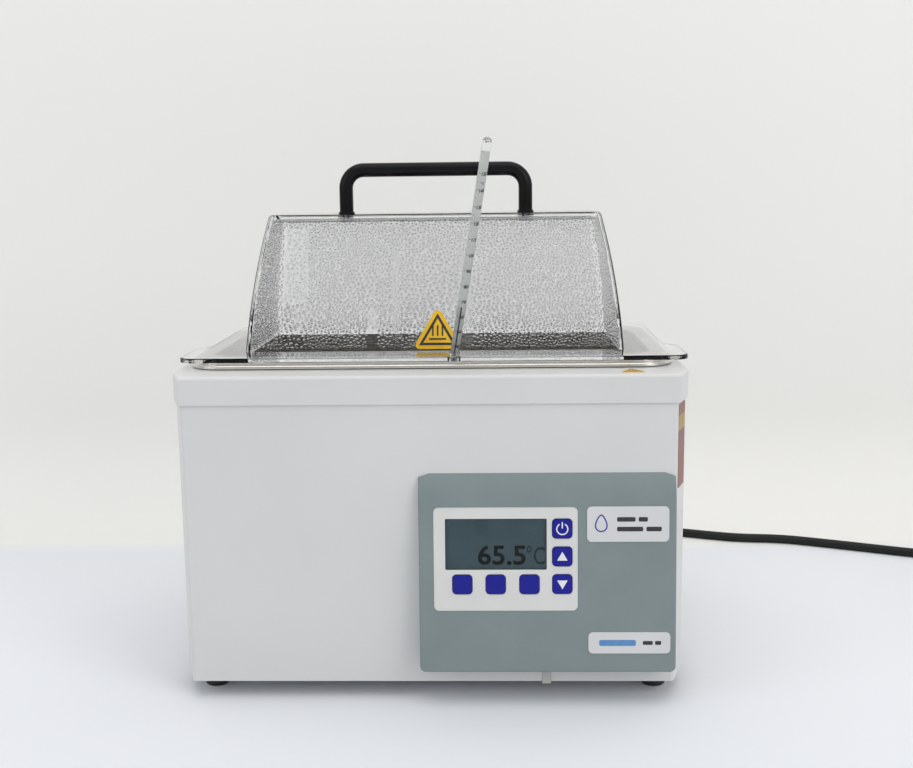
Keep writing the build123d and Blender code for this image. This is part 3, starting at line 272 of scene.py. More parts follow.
def grain(material, size, detail=3.0, stretch=(1, 1, 1), kind="ShaderNodeTexNoise"):
    """A noise of that grain size, in metres, stretched along the object's axes; returns its value socket."""
    tree = material.node_tree
    place = tree.nodes.new("ShaderNodeTexCoord")
    mapping = tree.nodes.new("ShaderNodeMapping")
    mapping.inputs["Scale"].default_value = [1 / s for s in stretch]
    texture = tree.nodes.new(kind)
    texture.inputs["Scale"].default_value = 1 / size
    texture.inputs["Detail"].default_value = detail
    tree.links.new(place.outputs["Object"], mapping.inputs["Vector"])
    tree.links.new(mapping.outputs["Vector"], texture.inputs["Vector"])
    return texture.outputs[0] if kind == "ShaderNodeTexNoise" else texture.outputs["Distance"]


def colour_between(material, value, low, high, start=0.3, end=0.7):
    """Drives the base colour from one colour to another as the value rises."""
    tree = material.node_tree
    ramp = tree.nodes.new("ShaderNodeValToRGB")
    ramp.color_ramp.elements[0].position = start
    ramp.color_ramp.elements[1].position = end
    ramp.color_ramp.elements[0].color = (*low, 1.0)
    ramp.color_ramp.elements[1].color = (*high, 1.0)
    tree.links.new(value, ramp.inputs["Fac"])
    tree.links.new(ramp.outputs["Color"], tree.nodes["Principled BSDF"].inputs["Base Color"])


def roughness_between(material, value, low, high):
    """Drives the roughness between two values."""
    tree = material.node_tree
    spread = tree.nodes.new("ShaderNodeMapRange")
    spread.inputs["From Min"].default_value = 0.3
    spread.inputs["From Max"].default_value = 0.7
    spread.inputs["To Min"].default_value = low
    spread.inputs["To Max"].default_value = high
    tree.links.new(value, spread.inputs["Value"])
    tree.links.new(spread.outputs["Result"], tree.nodes["Principled BSDF"].inputs["Roughness"])


def relief(material, value, depth, strength=1.0):
    """Adds a fine relief of that depth, in metres."""
    tree = material.node_tree
    bump = tree.nodes.new("ShaderNodeBump")
    bump.inputs["Strength"].default_value = strength
    bump.inputs["Distance"].default_value = depth
    tree.links.new(value, bump.inputs["Height"])
    tree.links.new(bump.outputs["Normal"], tree.nodes["Principled BSDF"].inputs["Normal"])


def dress(material, *names):
    """Gives sub-parts of the frame their finish."""
    for name in names:
        for slot in nodes[name].material_slots:
            slot.material = material


def shade(tone, amount):
    """A darker or paler version of a colour."""
    return tuple(min(1.0, c * amount) for c in tone)


print("finish helpers ready")

# %% [markdown]
# ### Painted steel
#
# The housing is sheet steel with a fine powder coat: nearly white, satin, with the faint orange peel that
# the baked powder leaves. A noise of about a millimetre makes the peel, and a broad one keeps large faces
# from being flat.

# %% Painted steel
paint_colour = (0.70, 0.70, 0.695)
white_paint = new_finish("white_paint", paint_colour, 0.42, Coat_Weight=0.12, Coat_Roughness=0.3)
colour_between(white_paint, grain(white_paint, 0.09), shade(paint_colour, 0.975), shade(paint_colour, 1.02))
relief(white_paint, grain(white_paint, 1.1 * mm, 2.0), 0.02 * mm, 0.5)
dress(white_paint, "housing_wrap", "top_cover", "back_panel")
print("paint on the housing")

# %% [markdown]
# ### Stainless steel and other metals
#
# The tank is drawn stainless steel with a brushed rim. Brushing leaves long fine scratches, so the noise is
# stretched many times along X. The same idea with other colours serves the zinc, aluminium and brass parts.

# %% Metals
def metal(name, colour, roughness, scratch, size=0.5 * mm):
    """A metal whose scratches run along X, scratch times as long as they are wide."""
    material = new_finish(name, colour, roughness, 1.0)
    lines = grain(material, size, 4.0, (scratch, 1, 1))
    roughness_between(material, lines, roughness * 0.75, roughness * 1.3)
    colour_between(material, lines, shade(colour, 0.94), shade(colour, 1.03))
    relief(material, lines, 0.01 * mm, 0.6)
    return material


steel = metal("brushed_steel", (0.74, 0.71, 0.66), 0.24, 60)
zinc = metal("zinc_plate", (0.66, 0.67, 0.69), 0.34, 3, 2.0 * mm)
aluminium = metal("plain_aluminium", (0.78, 0.79, 0.80), 0.38, 12)
brass = metal("bare_brass", (0.80, 0.62, 0.30), 0.28, 6)
copper = metal("copper_winding", (0.72, 0.40, 0.18), 0.35, 20)
dress(steel, "tank", "temperature_probe", "handle_washers")
dress(zinc, "base_pan", "foot_screws", "back_panel_screws", "cover_screws", "heater_studs", "heater_nuts",
      "handle_screws", "pod_screws")
dress(aluminium, "heater_clamp_plate", "heater_switch")
dress(brass, "plug_pins", "board_standoffs")
dress(copper, "transformer")
print("metals done")

# %% [markdown]
# ### Plastics, rubber and boards
#
# The pod is moulded in a satin grey-green with a very fine spark-eroded grain. The keypad's frame is a
# smooth white film, the keys are glossy blue, and the lead, feet and gland are black rubber that dulls
# where it is rubbed.

# %% Plastics and rubber
def moulding(name, colour, roughness, size, depth, spread=0.04, **sockets):
    """A moulded surface: a fine grain, and a broad faint change of tone."""
    material = new_finish(name, colour, roughness, **sockets)
    colour_between(material, grain(material, 0.03), shade(colour, 1 - spread), shade(colour, 1 + spread))
    fine = grain(material, size, 2.0)
    roughness_between(material, fine, roughness * 0.85, roughness * 1.15)
    relief(material, fine, depth, 0.6)
    return material


pod_grey = moulding("pod_grey", (0.215, 0.262, 0.265), 0.48, 0.35 * mm, 0.02 * mm)
white_film = moulding("white_film", (0.72, 0.72, 0.70), 0.38, 0.4 * mm, 0.005 * mm, 0.02)
key_blue = moulding(
    "key_blue", (0.010, 0.012, 0.28), 0.36, 0.3 * mm, 0.01 * mm, 0.05, Specular_IOR_Level=0.25
)
name_plate = moulding("name_plate", (0.68, 0.685, 0.69), 0.3, 0.4 * mm, 0.004 * mm, 0.02)
nylon = moulding("nylon_clip", (0.55, 0.55, 0.52), 0.5, 0.5 * mm, 0.01 * mm)
gloss_black = moulding(
    "gloss_black", (0.010, 0.010, 0.011), 0.2, 3.0 * mm, 0.015 * mm, 0.15, Specular_IOR_Level=0.12
)
rubber = moulding("black_rubber", (0.022, 0.022, 0.022), 0.62, 0.5 * mm, 0.03 * mm, 0.15)
cord_rubber = moulding(
    "cord_rubber", (0.009, 0.010, 0.009), 0.5, 0.8 * mm, 0.02 * mm, 0.15, Specular_IOR_Level=0.3
)
dark_part = moulding("dark_part", (0.05, 0.05, 0.05), 0.45, 0.5 * mm, 0.02 * mm)
board_green = moulding("board_green", (0.03, 0.20, 0.09), 0.35, 0.6 * mm, 0.01 * mm)
silicone = moulding("silicone_red", (0.42, 0.14, 0.08), 0.6, 1.5 * mm, 0.05 * mm)
gasket_dark = moulding("gasket_dark", (0.10, 0.10, 0.10), 0.6, 0.5 * mm, 0.02 * mm)
wool = moulding("glass_wool", (0.62, 0.60, 0.52), 0.9, 2.5 * mm, 0.6 * mm, 0.12)
dress(pod_grey, "control_pod")
dress(white_film, "keypad_bezel", "terminal_block")
dress(key_blue, "key_power", "key_up", "key_down", "key_left", "key_middle", "key_right")
dress(name_plate, "upper_badge", "lower_badge")
dress(nylon, "panel_clip", "ribbon_cable")
dress(gloss_black, "lid_handle")
dress(rubber, "rubber_feet", "strain_relief", "mains_plug", "coil_tie")
dress(cord_rubber, "internal_leads")
mains_lead.data.materials.append(cord_rubber)
dress(dark_part, "board_parts", "key_switches", "safety_cutout")
dress(board_green, "control_board", "keypad_board")
dress(silicone, "heater_mat")
dress(gasket_dark, "rim_gasket")
dress(wool, "tank_jacket", "bottom_insulation")
print("plastics done")

# %% [markdown]
# ### Clear parts
#
# The lid is one moulding of clear polycarbonate: it bends light strongly, and its long edges look bluish
# and dark because the eye sees through a great deal of it there. Its own surface is polished, with very
# faint waves.

# %% Clear parts
clear = new_finish("clear_polycarbonate", (0.985, 0.99, 1.0), 0.0, Transmission_Weight=1.0, IOR=1.33)
relief(clear, grain(clear, 14 * mm, 1.0), 0.05 * mm, 0.3)
dress(clear, "lid_shell")
window_clear = new_finish("window_clear", (0.95, 0.96, 0.97), 0.0, Transmission_Weight=1.0, IOR=1.15)
relief(window_clear, grain(window_clear, 8 * mm, 1.0), 0.02 * mm, 0.3)
dress(window_clear, "display_window")
stem_glass = new_finish("stem_glass", (0.95, 0.965, 0.955), 0.02, Transmission_Weight=1.0, IOR=1.47)
relief(stem_glass, grain(stem_glass, 5 * mm, 1.0), 0.02 * mm, 0.3)
dress(stem_glass, "thermometer_stem", "thermometer_bulb")
print("clear parts done")

# %% [markdown]
# ## Moisture inside the lid
#
# Warm vapour condenses on the cooler lid. The finest part is a mist that frosts the plastic on its back and
# its top, modelled as a thin film: a box whose top is drawn in to the gable's slope, opened below, in front
# and at its ends, and given a thin wall. It hangs just inside the drops.

# %% Moist film
lid_low, lid_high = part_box("lid_shell")
lid_under = lid_low.z
dome_middle_y = (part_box("tank")[0].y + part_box("tank")[1].y) / 2
dome_half_x, dome_top_half_x = 131.0 * mm, 117.0 * mm
dome_setback = 33.0 * mm
dome_half_y = (lid_high.y - lid_low.y) / 2 - 29.5 * mm
dome_rise = lid_high.z - lid_under
wall = 3.0 * mm
film_gap = 1.2 * mm
dome_bulge = 2.5 * mm
dome_middle_x = (lid_low.x + lid_high.x) / 2


def inner_half(z, inset):
    """Half the dome's inner length and width at a height, drawn in by an inset."""
    share = (z - lid_under) / dome_rise
    return (
        dome_half_x - (dome_half_x - dome_top_half_x) * share - inset,
        dome_half_y - dome_setback * share - inset,
    )


film_bottom = lid_under + 1.5 * mm
film_top = lid_high.z - wall - film_gap
start_piece()
bpy.ops.mesh.primitive_cube_add(size=2.0, location=(0, 0, 0))
bpy.ops.object.mode_set(mode="EDIT")
for level, side in ((film_bottom, -1), (film_top, 1)):
    pick("FACE", lambda middle, normal: normal.z * side > 0.9)
    half_x, half_y = inner_half(level, wall + film_gap)
    bpy.ops.transform.resize(value=(half_x, half_y, 1.0))
    bpy.ops.transform.translate(value=(dome_middle_x, dome_middle_y, level - side))
pick("FACE", lambda middle, normal: normal.z < -0.9)
bpy.ops.mesh.delete(type="FACE")
pick("EDGE", lambda middle, normal: middle.z > film_bottom + mm)
bpy.ops.mesh.bevel(offset=1.2 * mm, segments=2)
film_middle = (film_bottom + film_top) / 2
pick("FACE", lambda middle, normal: abs(middle.z - film_middle) < 10 * mm and normal.y < 0.5)
bpy.ops.mesh.delete(type="FACE")
moist_film = finish_piece("moist_film", smooth=40)
solidify = moist_film.modifiers.new("thickness", "SOLIDIFY")
solidify.thickness = 0.08 * mm
solidify.offset = -1.0
bpy.ops.object.modifier_apply(modifier="thickness")
mist = new_finish("mist", (1.0, 1.0, 1.0), 0.33, Transmission_Weight=0.97, IOR=1.12)
mist_grain = grain(mist, 1.3 * mm, 2.0)
roughness_between(mist, mist_grain, 0.26, 0.42)
relief(mist, mist_grain, 0.12 * mm, 0.8)
moist_film.data.materials.append(mist)
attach(moist_film, "lid")
print("film from z", round(film_bottom, 4), "to", round(film_top, 4))

# %% [markdown]
# The rest of the moisture has grown into drops. Each is a low dome of water, and a few thousand of them
# stand side by side without touching. One drop is modelled from a small sphere cut in half; it is then
# copied over each inner face of the lid with a size that depends on where it is: large low down in the
# middle, fine near the edges, and none in the tracks where drops have already run down. Each drop carries a
# painted shade in its colour that darkens its upper edge, standing in for the darker view that water bends
# into it there.

# %% One drop
def half_drop(name, segments):
    """A unit dome of few faces, closed underneath."""
    start_piece()
    bpy.ops.mesh.primitive_uv_sphere_add(segments=segments, ring_count=4, radius=1.0)
    bpy.ops.object.mode_set(mode="EDIT")
    pick("VERT", lambda place, normal: place.z < -0.01)
    bpy.ops.mesh.delete(type="VERT")
    pick("EDGE", lambda middle, normal: middle.z < 0.01)
    bpy.ops.mesh.edge_face_add()
    bpy.ops.mesh.select_all(action="SELECT")
    bpy.ops.mesh.normals_make_consistent(inside=False)
    drop = finish_piece(name, smooth=0)
    points = [v.co.copy() for v in drop.data.vertices]
    faces = [list(f.vertices) for f in drop.data.polygons]
    bpy.data.objects.remove(drop)
    return points, faces


drop_points, drop_faces = half_drop("drop", 6)
print("one drop:", len(drop_points), "points,", len(drop_faces), "faces")


# %% Scatter drops
def scatter(rng, length, rise, size_at, tries):
    """Places drops on a face of that length and rise, largest first, none touching another."""
    cell = 3.0 * mm
    grid = {}
    placed = []
    for attempt in range(tries):
        u = rng.uniform(-length / 2, length / 2)
        v = rng.uniform(0, rise)
        share = attempt / tries
        radius = size_at(u, v) * (1.45 - 0.75 * share) * rng.uniform(0.85, 1.12)
        if radius < 0.28 * mm:
            continue
        column, row = int(u // cell), int(v // cell)
        near = [d for i in (-1, 0, 1) for j in (-1, 0, 1) for d in grid.get((column + i, row + j), ())]
        if any((u - a) ** 2 + (v - b) ** 2 < ((radius + r) * 1.06) ** 2 for a, b, r in near):
            continue
        grid.setdefault((column, row), []).append((u, v, radius))
        placed.append((u, v, radius))
    return placed


drop_stretch, drop_bulge = 1.12, 0.62


def drops_on_face(placed, origin, along, up, inward, inset_at, bow_at=lambda v: 0.0):
    """The points, faces and painted shades of all drops on one face of the lid, which may bow outwards
    between its edges.
    """
    points, faces, painted_shades = [], [], []
    for u, v, radius in placed:
        if abs(u) > inset_at(v) - radius:
            continue
        base = origin + along * u + up * v - inward * bow_at(v)
        first = len(points)
        for p in drop_points:
            on_wall = along * (p.x * radius) + up * (p.y * radius * drop_stretch)
            points.append(base + on_wall + inward * (p.z * radius * drop_bulge))
            # painted shade: each drop's upper side is darkened in its colour, standing in for the view bent
            # through the water
            painted_shades.append(1.0 if p.z > 0.8 else (1.0 if p.z > 0.5 else 0.88) - 0.42 * max(0.0, p.y))
        faces.extend([[first + i for i in face] for face in drop_faces])
    return points, faces, painted_shades


def water_piece(name, groups):
    """Joins groups of drops into one piece of water."""
    points, faces, painted_shades = [], [], []
    for group_points, group_faces, group_painted_shades in groups:
        first = len(points)
        points.extend(group_points)
        painted_shades.extend(group_painted_shades)
        faces.extend([[first + i for i in face] for face in group_faces])
    mesh = bpy.data.meshes.new(name)
    mesh.from_pydata(points, [], faces)
    mesh.polygons.foreach_set("use_smooth", [len(face) < 5 for face in faces])
    # the painted shade of each point goes into the tone attribute
    tone = mesh.color_attributes.new("tone", "FLOAT_COLOR", "POINT")
    tone.data.foreach_set("color", [value for t in painted_shades for value in (t, t, t, 1.0)])
    piece = bpy.data.objects.new(name, mesh)
    bpy.context.scene.collection.objects.link(piece)
    piece.data.materials.append(water)
    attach(piece, "lid")
    print(name, "has", len(faces) // len(drop_faces), "drops")
    return piece


water = new_finish("water", (0.97, 0.98, 0.99), 0.0, Transmission_Weight=1.0, IOR=1.333)
relief(water, grain(water, 4 * mm, 0.0), 0.01 * mm, 0.2)
# the drops' base colour is their painted shade
painted_drop_shade = water.node_tree.nodes.new("ShaderNodeAttribute")
painted_drop_shade.attribute_name = "tone"
water_shader = water.node_tree.nodes["Principled BSDF"]
water.node_tree.links.new(painted_drop_shade.outputs["Color"], water_shader.inputs["Base Color"])
skin = wall + 0.1 * mm
drops_bottom = lid_under + 4.5 * mm
drops_top = lid_high.z - wall - 2.0 * mm
front_lean = math.atan2(dome_setback, dome_rise)
side_lean = math.atan2(dome_half_x - dome_top_half_x, dome_rise)
print("front leans", round(math.degrees(front_lean), 1), "degrees")


# %% Drops on the front and back
def front_size(u, v):
    """The usual drop radius on the front: tracks run dry, and the middle is wettest low down."""
    x, z = u, v * math.cos(front_lean)
    if -106 * mm < x < -88 * mm and z < 82 * mm:
        return 0.0 if (z > 30 * mm or math.sin(x * 1900 + z * 700) < 0.8) else 0.9 * mm
    if -47 * mm < x < -39 * mm and z < 27 * mm:
        return 0.0
    if -29 * mm < x < -24 * mm and z < 66 * mm:
        return 0.36 * mm
    if 17 * mm < x < 26 * mm and z < 64 * mm:
        return 0.34 * mm
    middle = math.exp(-((x / (62 * mm)) ** 2)) * math.exp(-((z - 30 * mm) / (34 * mm)) ** 2)
    return (0.60 + 0.42 * middle + 0.08 * math.sin(x * 90) * math.cos(z * 130)) * mm


rng = random.Random(11)
slope = (drops_top - drops_bottom) / math.cos(front_lean)
faces_front = []
faces_rest = []
for side, size_at, tries in ((-1, front_size, 60000), (1, lambda u, v: 0.95 * mm, 15000)):
    half_x, half_y = inner_half(drops_bottom, skin)
    origin = Vector((dome_middle_x, dome_middle_y + side * half_y, drops_bottom))
    along = Vector((1, 0, 0))
    up = Vector((0, -side * math.sin(front_lean), math.cos(front_lean)))
    inward = Vector((0, -side * math.cos(front_lean), -math.sin(front_lean)))
    placed = scatter(rng, 2 * half_x, slope, size_at, tries)
    group = drops_on_face(
        placed, origin, along, up, inward,
        lambda v: inner_half(drops_bottom + v * math.cos(front_lean), skin + 1.5 * mm)[0],
    )
    (faces_front if side < 0 else faces_rest).append(group)
water_piece("drops_front", faces_front)

# %% Drops on the ends and the top
def end_bow(v):
    """How far an end of the lid bows outwards at that height up it."""
    share = (drops_bottom + v * math.cos(side_lean) - lid_under) / dome_rise
    return 4 * dome_bulge * share * (1 - share) - 0.05 * mm


slope = (drops_top - drops_bottom) / math.cos(side_lean)
for side in (-1, 1):
    half_x, half_y = inner_half(drops_bottom, skin)
    origin = Vector((dome_middle_x + side * half_x, dome_middle_y, drops_bottom))
    along = Vector((0, 1, 0))
    up = Vector((-side * math.sin(side_lean), 0, math.cos(side_lean)))
    inward = Vector((-side * math.cos(side_lean), 0, -math.sin(side_lean)))
    placed = scatter(rng, 2 * half_y, slope, lambda u, v: 0.8 * mm, 6000)
    faces_rest.append(
        drops_on_face(
            placed, origin, along, up, inward,
            lambda v: inner_half(drops_bottom + v * math.cos(side_lean), skin + 1.5 * mm)[1],
            end_bow,
        )
    )
half_x, half_y = inner_half(lid_high.z - wall, skin + 2.0 * mm)
placed = [
    (u, v, r) for u, v, r in scatter(rng, 2 * half_x, 2 * half_y, lambda u, v: 0.95 * mm, 7000)
    if (abs(u) - 65 * mm) ** 2 + (v - half_y) ** 2 > (9 * mm) ** 2
]
origin = Vector((dome_middle_x, dome_middle_y - half_y, lid_high.z - wall - 0.05 * mm))
faces_rest.append(
    drops_on_face(placed, origin, Vector((1, 0, 0)), Vector((0, 1, 0)), Vector((0, 0, -1)), lambda v: half_x)
)
water_piece("drops_rest", faces_rest)

# %% [markdown]
# ## The thermometer
#
# A solid glass stem has a strip of white enamel fused into its back, a fine bore with dark fluid up to the
# reading, and a scale printed on its front. The enamel is a rod cut in half, the bore a thin
# rod, and the numbers are flat text wrapped round the glass. Everything is made upright at the origin and
# then laid along the stem.

# %% Stem places
stem_radius = 3.0 * mm
crossing = Vector((16.0 * mm, front + 46.0 * mm, lid_under - 0.1 * mm))
stem_axis = Vector((24.4, -56.0, 144.7)).normalized()
stem_tip = 157.07 * mm
stem_foot = stem_tip - 305.0 * mm + 14.0 * mm
stem_right = Vector((1, 0, 0))
stem_right = (stem_right - stem_axis * stem_right.dot(stem_axis)).normalized()
stem_front = stem_right.cross(stem_axis)
stem_matrix = Matrix(
    (
        (stem_right.x, stem_axis.x, stem_front.x, crossing.x),
        (stem_right.y, stem_axis.y, stem_front.y, crossing.y),
        (stem_right.z, stem_axis.z, stem_front.z, crossing.z),
        (0, 0, 0, 1),
    )
)
degree_step = 1.1288 * mm


def reading(degrees):
    """How far above the lid, along the stem, the scale shows that temperature."""
    return degrees * degree_step - 35.2 * mm


print("stem leans", round(math.degrees(stem_axis.angle(Vector((0, 0, 1)))), 1), "degrees")


# %% Enamel strip and fluid
def lay_on_stem(piece):
    """Moves a mesh made with X right, Y up the stem and Z to the front into its place on the stem."""
    piece.data.transform(stem_matrix)
    piece.data.update()
    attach(piece, "thermometer")


def stem_rod(name, radius, low, high, sides, depth):
    """A rod along Y inside the stem, its middle that far in front of the stem's axis."""
    start_piece()
    bpy.ops.mesh.primitive_cylinder_add(
        vertices=sides, radius=radius, depth=high - low, location=(0, (low + high) / 2, depth),
        rotation=(math.radians(90), 0, 0),
    )
    bpy.ops.object.transform_apply(location=True, rotation=True, scale=True)
    bpy.ops.object.mode_set(mode="EDIT")


stem_rod("enamel_strip", 2.45 * mm, stem_foot + 6 * mm, stem_tip - 9 * mm, 32, 0.0)
bpy.ops.mesh.select_all(action="SELECT")
bpy.ops.mesh.bisect(plane_co=(0, 0, -0.9 * mm), plane_no=(0, 0, 1), clear_outer=True, use_fill=True)
enamel_strip = finish_piece("enamel_strip")
enamel_colour = (0.86, 0.87, 0.83)
enamel = new_finish("enamel", enamel_colour, 0.3)
colour_between(enamel, grain(enamel, 6 * mm), shade(enamel_colour, 0.95), shade(enamel_colour, 1.03))
enamel_strip.data.materials.append(enamel)
lay_on_stem(enamel_strip)

stem_rod("fluid", 0.32 * mm, stem_foot - 1 * mm, reading(65.5), 12, 0.0)
pick("FACE", lambda middle, normal: normal.y > 0.9)
bpy.ops.mesh.inset(thickness=0.15 * mm)
bpy.ops.transform.translate(value=(0, 0.2 * mm, 0))
fluid = finish_piece("fluid_column")
fluid_ink = new_finish("fluid_ink", (0.015, 0.02, 0.09), 0.25)
colour_between(fluid_ink, grain(fluid_ink, 3 * mm), (0.012, 0.016, 0.07), (0.018, 0.024, 0.10))
fluid.data.materials.append(fluid_ink)
lay_on_stem(fluid)
print("fluid stands at", round(reading(65.5) / mm, 1), "mm above the lid")


# %% Scale
def text_mesh(words, height, thickness, weight=0.0):
    """Flat text as a closed mesh, lying on X and Y with its left baseline at the origin."""
    start_piece()
    bpy.ops.object.text_add(location=(0, 0, 0))
    text = bpy.context.object
    text.data.body = words
    text.data.size = height / 0.72
    text.data.extrude = thickness / 2
    text.data.offset = weight
    text.data.resolution_u = 3
    bpy.ops.object.convert(target="MESH")
    return bpy.context.object


def join_pieces(pieces, name):
    """Joins pieces into one and names it."""
    start_piece()
    for piece in pieces:
        piece.select_set(True)
    bpy.context.view_layer.objects.active = pieces[0]
    bpy.ops.object.join()
    joined = bpy.context.object
    joined.name = joined.data.name = name
    return joined


def mark(left, right, height, thick):
    """A short printed line across the stem."""
    start_piece()
    bpy.ops.mesh.primitive_cube_add(size=1.0, location=((left + right) / 2, height, 0))
    bpy.ops.transform.resize(value=(right - left, thick, 0.04 * mm))
    bpy.ops.object.transform_apply(location=True, rotation=True, scale=True)
    bpy.ops.object.mode_set(mode="EDIT")
    bpy.ops.mesh.select_all(action="SELECT")
    bpy.ops.mesh.subdivide(number_cuts=3)
    bpy.ops.object.mode_set(mode="OBJECT")
    return bpy.context.object


scale_pieces = []
for degrees in range(-20, 151, 10):
    scale_pieces.append(mark(-2.5 * mm, -0.9 * mm, reading(degrees), 0.26 * mm))
    number = text_mesh(str(degrees), 2.3 * mm, 0.04 * mm, 0.13 * mm)
    wide = number.dimensions.x
    squeeze = min(1.0, 3.4 * mm / wide)
    number.data.transform(Matrix.Diagonal((squeeze, 1, 1, 1)))
    number.data.transform(Matrix.Translation((-0.7 * mm, reading(degrees) - 1.15 * mm, 0)))
    scale_pieces.append(number)
    if degrees < 150:
        scale_pieces.append(mark(-2.3 * mm, -1.3 * mm, reading(degrees + 5), 0.18 * mm))
unit = text_mesh("°C", 1.6 * mm, 0.04 * mm, 0.05 * mm)
unit.data.transform(Matrix.Translation((-0.3 * mm, reading(144.5) - 0.8 * mm, 0)))
scale_pieces.append(unit)
stem_scale = join_pieces(scale_pieces, "stem_scale")
for vertex in stem_scale.data.vertices:
    turn = vertex.co.x / stem_radius
    reach = stem_radius + 0.03 * mm + vertex.co.z
    vertex.co = (reach * math.sin(turn), vertex.co.y, reach * math.cos(turn))
scale_ink = new_finish("scale_ink", (0.02, 0.02, 0.022), 0.5)
colour_between(scale_ink, grain(scale_ink, 2 * mm), (0.012, 0.012, 0.014), (0.035, 0.035, 0.038))
stem_scale.data.materials.clear()
stem_scale.data.materials.append(scale_ink)
lay_on_stem(stem_scale)
print("scale has", len(scale_pieces), "marks and numbers")

# %% [markdown]
# ## Marks on the pod
#
# The pod's face leans back a few degrees. Marks are modelled flat, X to the right and Y up, then laid on
# the face by one matrix. Key symbols are thin inlays that ride on their keys; the name plates carry a plain
# drop and plain bars in place of any name.

# %% Pod face
pod_bottom, pod_flat_top = 24.4 * mm, 136.4 * mm
pod_out_bottom, pod_out_top = 15.6 * mm, 7.2 * mm
face_tilt = math.atan2(pod_out_bottom - pod_out_top, pod_flat_top - pod_bottom)
face_up = Vector((0, math.sin(face_tilt), math.cos(face_tilt)))
face_out = Vector((0, -math.cos(face_tilt), math.sin(face_tilt)))
face_origin = Vector((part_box("control_pod")[0].x + 9 * mm, front + 1.5 * mm - pod_out_bottom, pod_bottom))


def on_plane(origin, up, out):
    """The matrix that takes X right, Y up and Z out to a plane's origin, up and outward directions."""
    right = up.cross(out)
    return Matrix(
        (
            (right.x, up.x, out.x, origin.x),
            (right.y, up.y, out.y, origin.y),
            (right.z, up.z, out.z, origin.z),
            (0, 0, 0, 1),
        )
    )


def on_pod(x, height, out=0.0):
    """The matrix of a place on the pod's face."""
    return on_plane(face_origin + Vector((x, 0, 0)) + face_up * height + face_out * out, face_up, face_out)


def outline_plate(name, corners, thickness, rim=0.0):
    """A thin flat plate of any outline, or with a rim only its border, made from one shaped face."""
    start_piece()
    bpy.ops.mesh.primitive_circle_add(vertices=len(corners), radius=1.0, fill_type="NGON")
    piece = bpy.context.object
    for vertex, (x, y) in zip(piece.data.vertices, corners):
        vertex.co = (x, y, 0)
    bpy.ops.object.mode_set(mode="EDIT")
    bpy.ops.mesh.select_all(action="SELECT")
    if rim:
        bpy.ops.mesh.inset(thickness=rim, depth=0)
        bpy.ops.mesh.delete(type="FACE")
        bpy.ops.mesh.select_all(action="SELECT")
    bpy.ops.mesh.extrude_region_move(TRANSFORM_OT_translate={"value": (0, 0, thickness)})
    bpy.ops.mesh.select_all(action="SELECT")
    bpy.ops.mesh.normals_make_consistent(inside=False)
    piece = finish_piece(name, smooth=30)
    return piece


def rounded(width, height, radius, x=0.0, y=0.0, arc=5):
    """The corners of a rounded rectangle round a centre."""
    corners = []
    for i, (sx, sy) in enumerate(((1, 1), (-1, 1), (-1, -1), (1, -1))):
        for step in range(arc):
            angle = math.radians(90) * (i + step / (arc - 1))
            corners.append(
                (
                    x + sx * (width / 2 - radius) + radius * math.cos(angle),
                    y + sy * (height / 2 - radius) + radius * math.sin(angle),
                )
            )
    return corners


def place(piece, matrix, body, slot, material):
    """Lays a flat piece in its place and gives it its body and finish; the slot is not used."""
    piece.data.transform(matrix)
    piece.data.update()
    piece.data.materials.clear()
    piece.data.materials.append(material)
    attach(piece, body)


print("pod face leans", round(math.degrees(face_tilt), 2), "degrees")

# %% Key symbols
key_front = 0.4 * mm
inlay = 0.08 * mm
print_white = new_finish("print_white", (0.84, 0.84, 0.84), 0.4)
colour_between(print_white, grain(print_white, 4 * mm), (0.81, 0.81, 0.81), (0.86, 0.86, 0.86))
ring = []
ring_gap = math.radians(28)
for step in range(25):
    angle = math.radians(90) + ring_gap + (2 * math.pi - 2 * ring_gap) * step / 24
    ring.append((4.0 * mm * math.cos(angle), 4.0 * mm * math.sin(angle)))
for step in range(24, -1, -1):
    angle = math.radians(90) + ring_gap + (2 * math.pi - 2 * ring_gap) * step / 24
    ring.append((3.2 * mm * math.cos(angle), 3.2 * mm * math.sin(angle)))
power_ring = outline_plate("power_ring", ring, inlay)
power_bar = outline_plate("power_bar", rounded(0.8 * mm, 4.4 * mm, 0.35 * mm, 0, 2.5 * mm, 3), inlay)
power_symbol = join_pieces([power_ring, power_bar], "power_symbol")
place(power_symbol, on_pod(85 * mm, 96.2 * mm, key_front), "key_power", "white_plastic", print_white)
for name, height, way in (("up", 77.9 * mm, 1), ("down", 59.5 * mm, -1)):
    corners = [(-3.4 * mm, -2.9 * mm * way), (3.4 * mm, -2.9 * mm * way), (0, 3.0 * mm * way)]
    arrow = outline_plate(name + "_arrow", corners, inlay)
    key_face = on_pod(85 * mm, height + 0.3 * mm * way, key_front)
    place(arrow, key_face, "key_" + name, "white_plastic", print_white)
print("symbols on three keys")

# %% [markdown]
# The display is a plain liquid crystal: a grey-green glass with dark segments. Only numbers and a plain
# symbol show.

